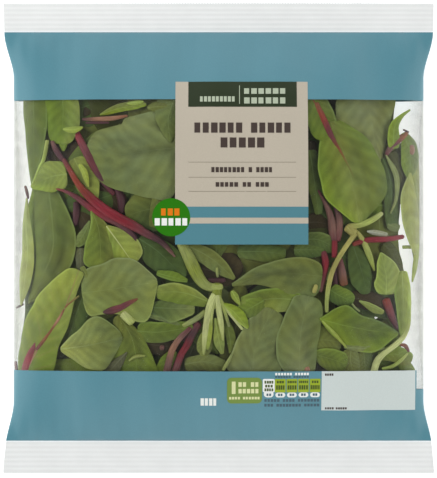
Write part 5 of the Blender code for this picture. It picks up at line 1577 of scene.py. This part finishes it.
def build_stage(studio):
    """A wide white table, an even white surround, two soft lamps and the camera straight above."""
    scene = bpy.context.scene
    mesh = bpy.data.meshes.new("floor")
    r = FLOOR_REACH
    corners = [(x, y, -FLOOR_DROP) for x, y in ((-r, -r), (r, -r), (r, r), (-r, r))]
    mesh.from_pydata(corners, [], [(0, 1, 2, 3)])
    mesh.materials.append(painted_floor(tuple(studio.floor), studio.floor_glow))
    floor = bpy.data.objects.new("floor", mesh)
    scene.collection.objects.link(floor)

    world = scene.world or bpy.data.worlds.new("surround")
    scene.world = world
    world.use_nodes = True
    world.node_tree.nodes.clear()
    tree = world.node_tree
    heading = add(tree, "TexCoord").outputs["Generated"]
    height = add(tree, "SeparateXYZ", None, {0: heading}).outputs[2]
    limits = {1: HOOD_EDGE[0], 2: HOOD_EDGE[1], 3: studio.sky, 4: studio.hood}
    glow = add(tree, "MapRange", limits, {0: height}, interpolation_type="SMOOTHSTEP")
    sky = add(tree, "Background", {"Color": (1, 1, 1, 1)}, {"Strength": glow.outputs[0]})
    add(tree, "OutputWorld", None, {"Surface": sky.outputs[0]})

    for name, place, share in LAMPS:
        data = bpy.data.lights.new(name, "AREA")
        data.shape = "DISK"
        data.size = LAMP_SIZE
        data.energy = studio.lamp * share
        lamp = bpy.data.objects.new(name, data)
        lamp.location = place
        lamp.rotation_euler = (Vector((0, 0, 0)) - Vector(place)).to_track_quat("-Z", "Y").to_euler()
        # Crossed polarisers keep the lamps' own image off the film
        lamp.visible_glossy = False
        scene.collection.objects.link(lamp)

    lens = bpy.data.cameras.new("camera")
    lens.lens = studio.lens
    lens.sensor_width = 36.0
    lens.clip_end = 100.0
    camera = bpy.data.objects.new("camera", lens)
    camera.location = (-0.0001, -0.0004, studio.height)
    camera.rotation_euler = (0.0, 0.0, 0.0)
    scene.collection.objects.link(camera)
    scene.camera = camera
    scene.view_settings.view_transform = "Standard"


# ---------------------------------------------------------------- operators and panel


class SALADBAG_OT_film(bpy.types.Operator):
    """Build the film body with its window and printed bands"""

    bl_idname = "salad_bag.film"
    bl_label = "Film Body"

    def execute(self, context):
        build_film(context.scene.salad_bag_film)
        return {"FINISHED"}


class SALADBAG_OT_seals(bpy.types.Operator):
    """Build the two crimped seals and the back seam"""

    bl_idname = "salad_bag.seals"
    bl_label = "Seals"

    def execute(self, context):
        film = context.scene.salad_bag_film
        build_seal(film, "seal_top", TOP_ROOT, BAG_LENGTH / 2)
        build_seal(film, "seal_bottom", BOTTOM_ROOT, -BAG_LENGTH / 2)
        build_back_seam(film)
        return {"FINISHED"}


class SALADBAG_OT_print(bpy.types.Operator):
    """Lay the label and the printed panels on the film"""

    bl_idname = "salad_bag.print"
    bl_label = "Print"

    def execute(self, context):
        film = context.scene.salad_bag_film
        inks = context.scene.salad_bag_print
        build_print(film, inks, "label", LABEL_FIELDS, LABEL_MARKS, 3)
        build_print(film, inks, "panels", PANEL_FIELDS, PANEL_MARKS, 4)
        return {"FINISHED"}


class SALADBAG_OT_leaves(bpy.types.Operator):
    """Place the leaves that show through the window"""

    bl_idname = "salad_bag.leaves"
    bl_label = "Front Leaves"

    def execute(self, context):
        build_front_leaves(context.scene.salad_bag_leaves, context.scene.salad_bag_stalks)
        return {"FINISHED"}


class SALADBAG_OT_stalks(bpy.types.Operator):
    """Place the red and pale stalks"""

    bl_idname = "salad_bag.stalks"
    bl_label = "Stalks"

    def execute(self, context):
        build_stalks(context.scene.salad_bag_stalks, context.scene.salad_bag_leaves.seed)
        return {"FINISHED"}


class SALADBAG_OT_fill(bpy.types.Operator):
    """Pack the leaves below, behind and in the middle"""

    bl_idname = "salad_bag.fill"
    bl_label = "Packed Leaves"

    def execute(self, context):
        leaves = context.scene.salad_bag_leaves
        build_fill_leaves(leaves, context.scene.salad_bag_stalks)
        build_heart(leaves)
        return {"FINISHED"}


class SALADBAG_OT_stage(bpy.types.Operator):
    """Set up the floor, the light and the camera"""

    bl_idname = "salad_bag.stage"
    bl_label = "Stage"

    def execute(self, context):
        build_stage(context.scene.salad_bag_studio)
        return {"FINISHED"}


GROUPS = {
    "salad_bag_film": SaladBagFilm,
    "salad_bag_print": SaladBagPrint,
    "salad_bag_leaves": SaladBagLeaves,
    "salad_bag_stalks": SaladBagStalks,
    "salad_bag_studio": SaladBagStudio,
}
OPERATORS = (
    SALADBAG_OT_film,
    SALADBAG_OT_seals,
    SALADBAG_OT_print,
    SALADBAG_OT_leaves,
    SALADBAG_OT_stalks,
    SALADBAG_OT_fill,
    SALADBAG_OT_stage,
)


class SALADBAG_PT_tools(bpy.types.Panel):
    """Lists the pieces and their settings"""

    bl_idname = "SALADBAG_PT_tools"
    bl_label = "Salad Bag"
    bl_space_type = "VIEW_3D"
    bl_region_type = "UI"
    bl_category = "Salad Bag"

    def draw(self, context):
        for operator in OPERATORS:
            self.layout.operator(operator.bl_idname)
        for name, group in GROUPS.items():
            box = self.layout.box()
            for field in group.__annotations__:
                box.prop(getattr(context.scene, name), field)


def register():
    for group in GROUPS.values():
        bpy.utils.register_class(group)
    for operator in OPERATORS:
        bpy.utils.register_class(operator)
    bpy.utils.register_class(SALADBAG_PT_tools)
    for name, group in GROUPS.items():
        setattr(bpy.types.Scene, name, PointerProperty(type=group))


def unregister():
    for name in GROUPS:
        delattr(bpy.types.Scene, name)
    bpy.utils.unregister_class(SALADBAG_PT_tools)
    for operator in reversed(OPERATORS):
        bpy.utils.unregister_class(operator)
    for group in reversed(GROUPS.values()):
        bpy.utils.unregister_class(group)


def main():
    """Registers the classes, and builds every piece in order."""
    register()
    for operator in OPERATORS:
        getattr(bpy.ops.salad_bag, operator.bl_idname.split(".")[1])()


if __name__ == "__main__":
    main()
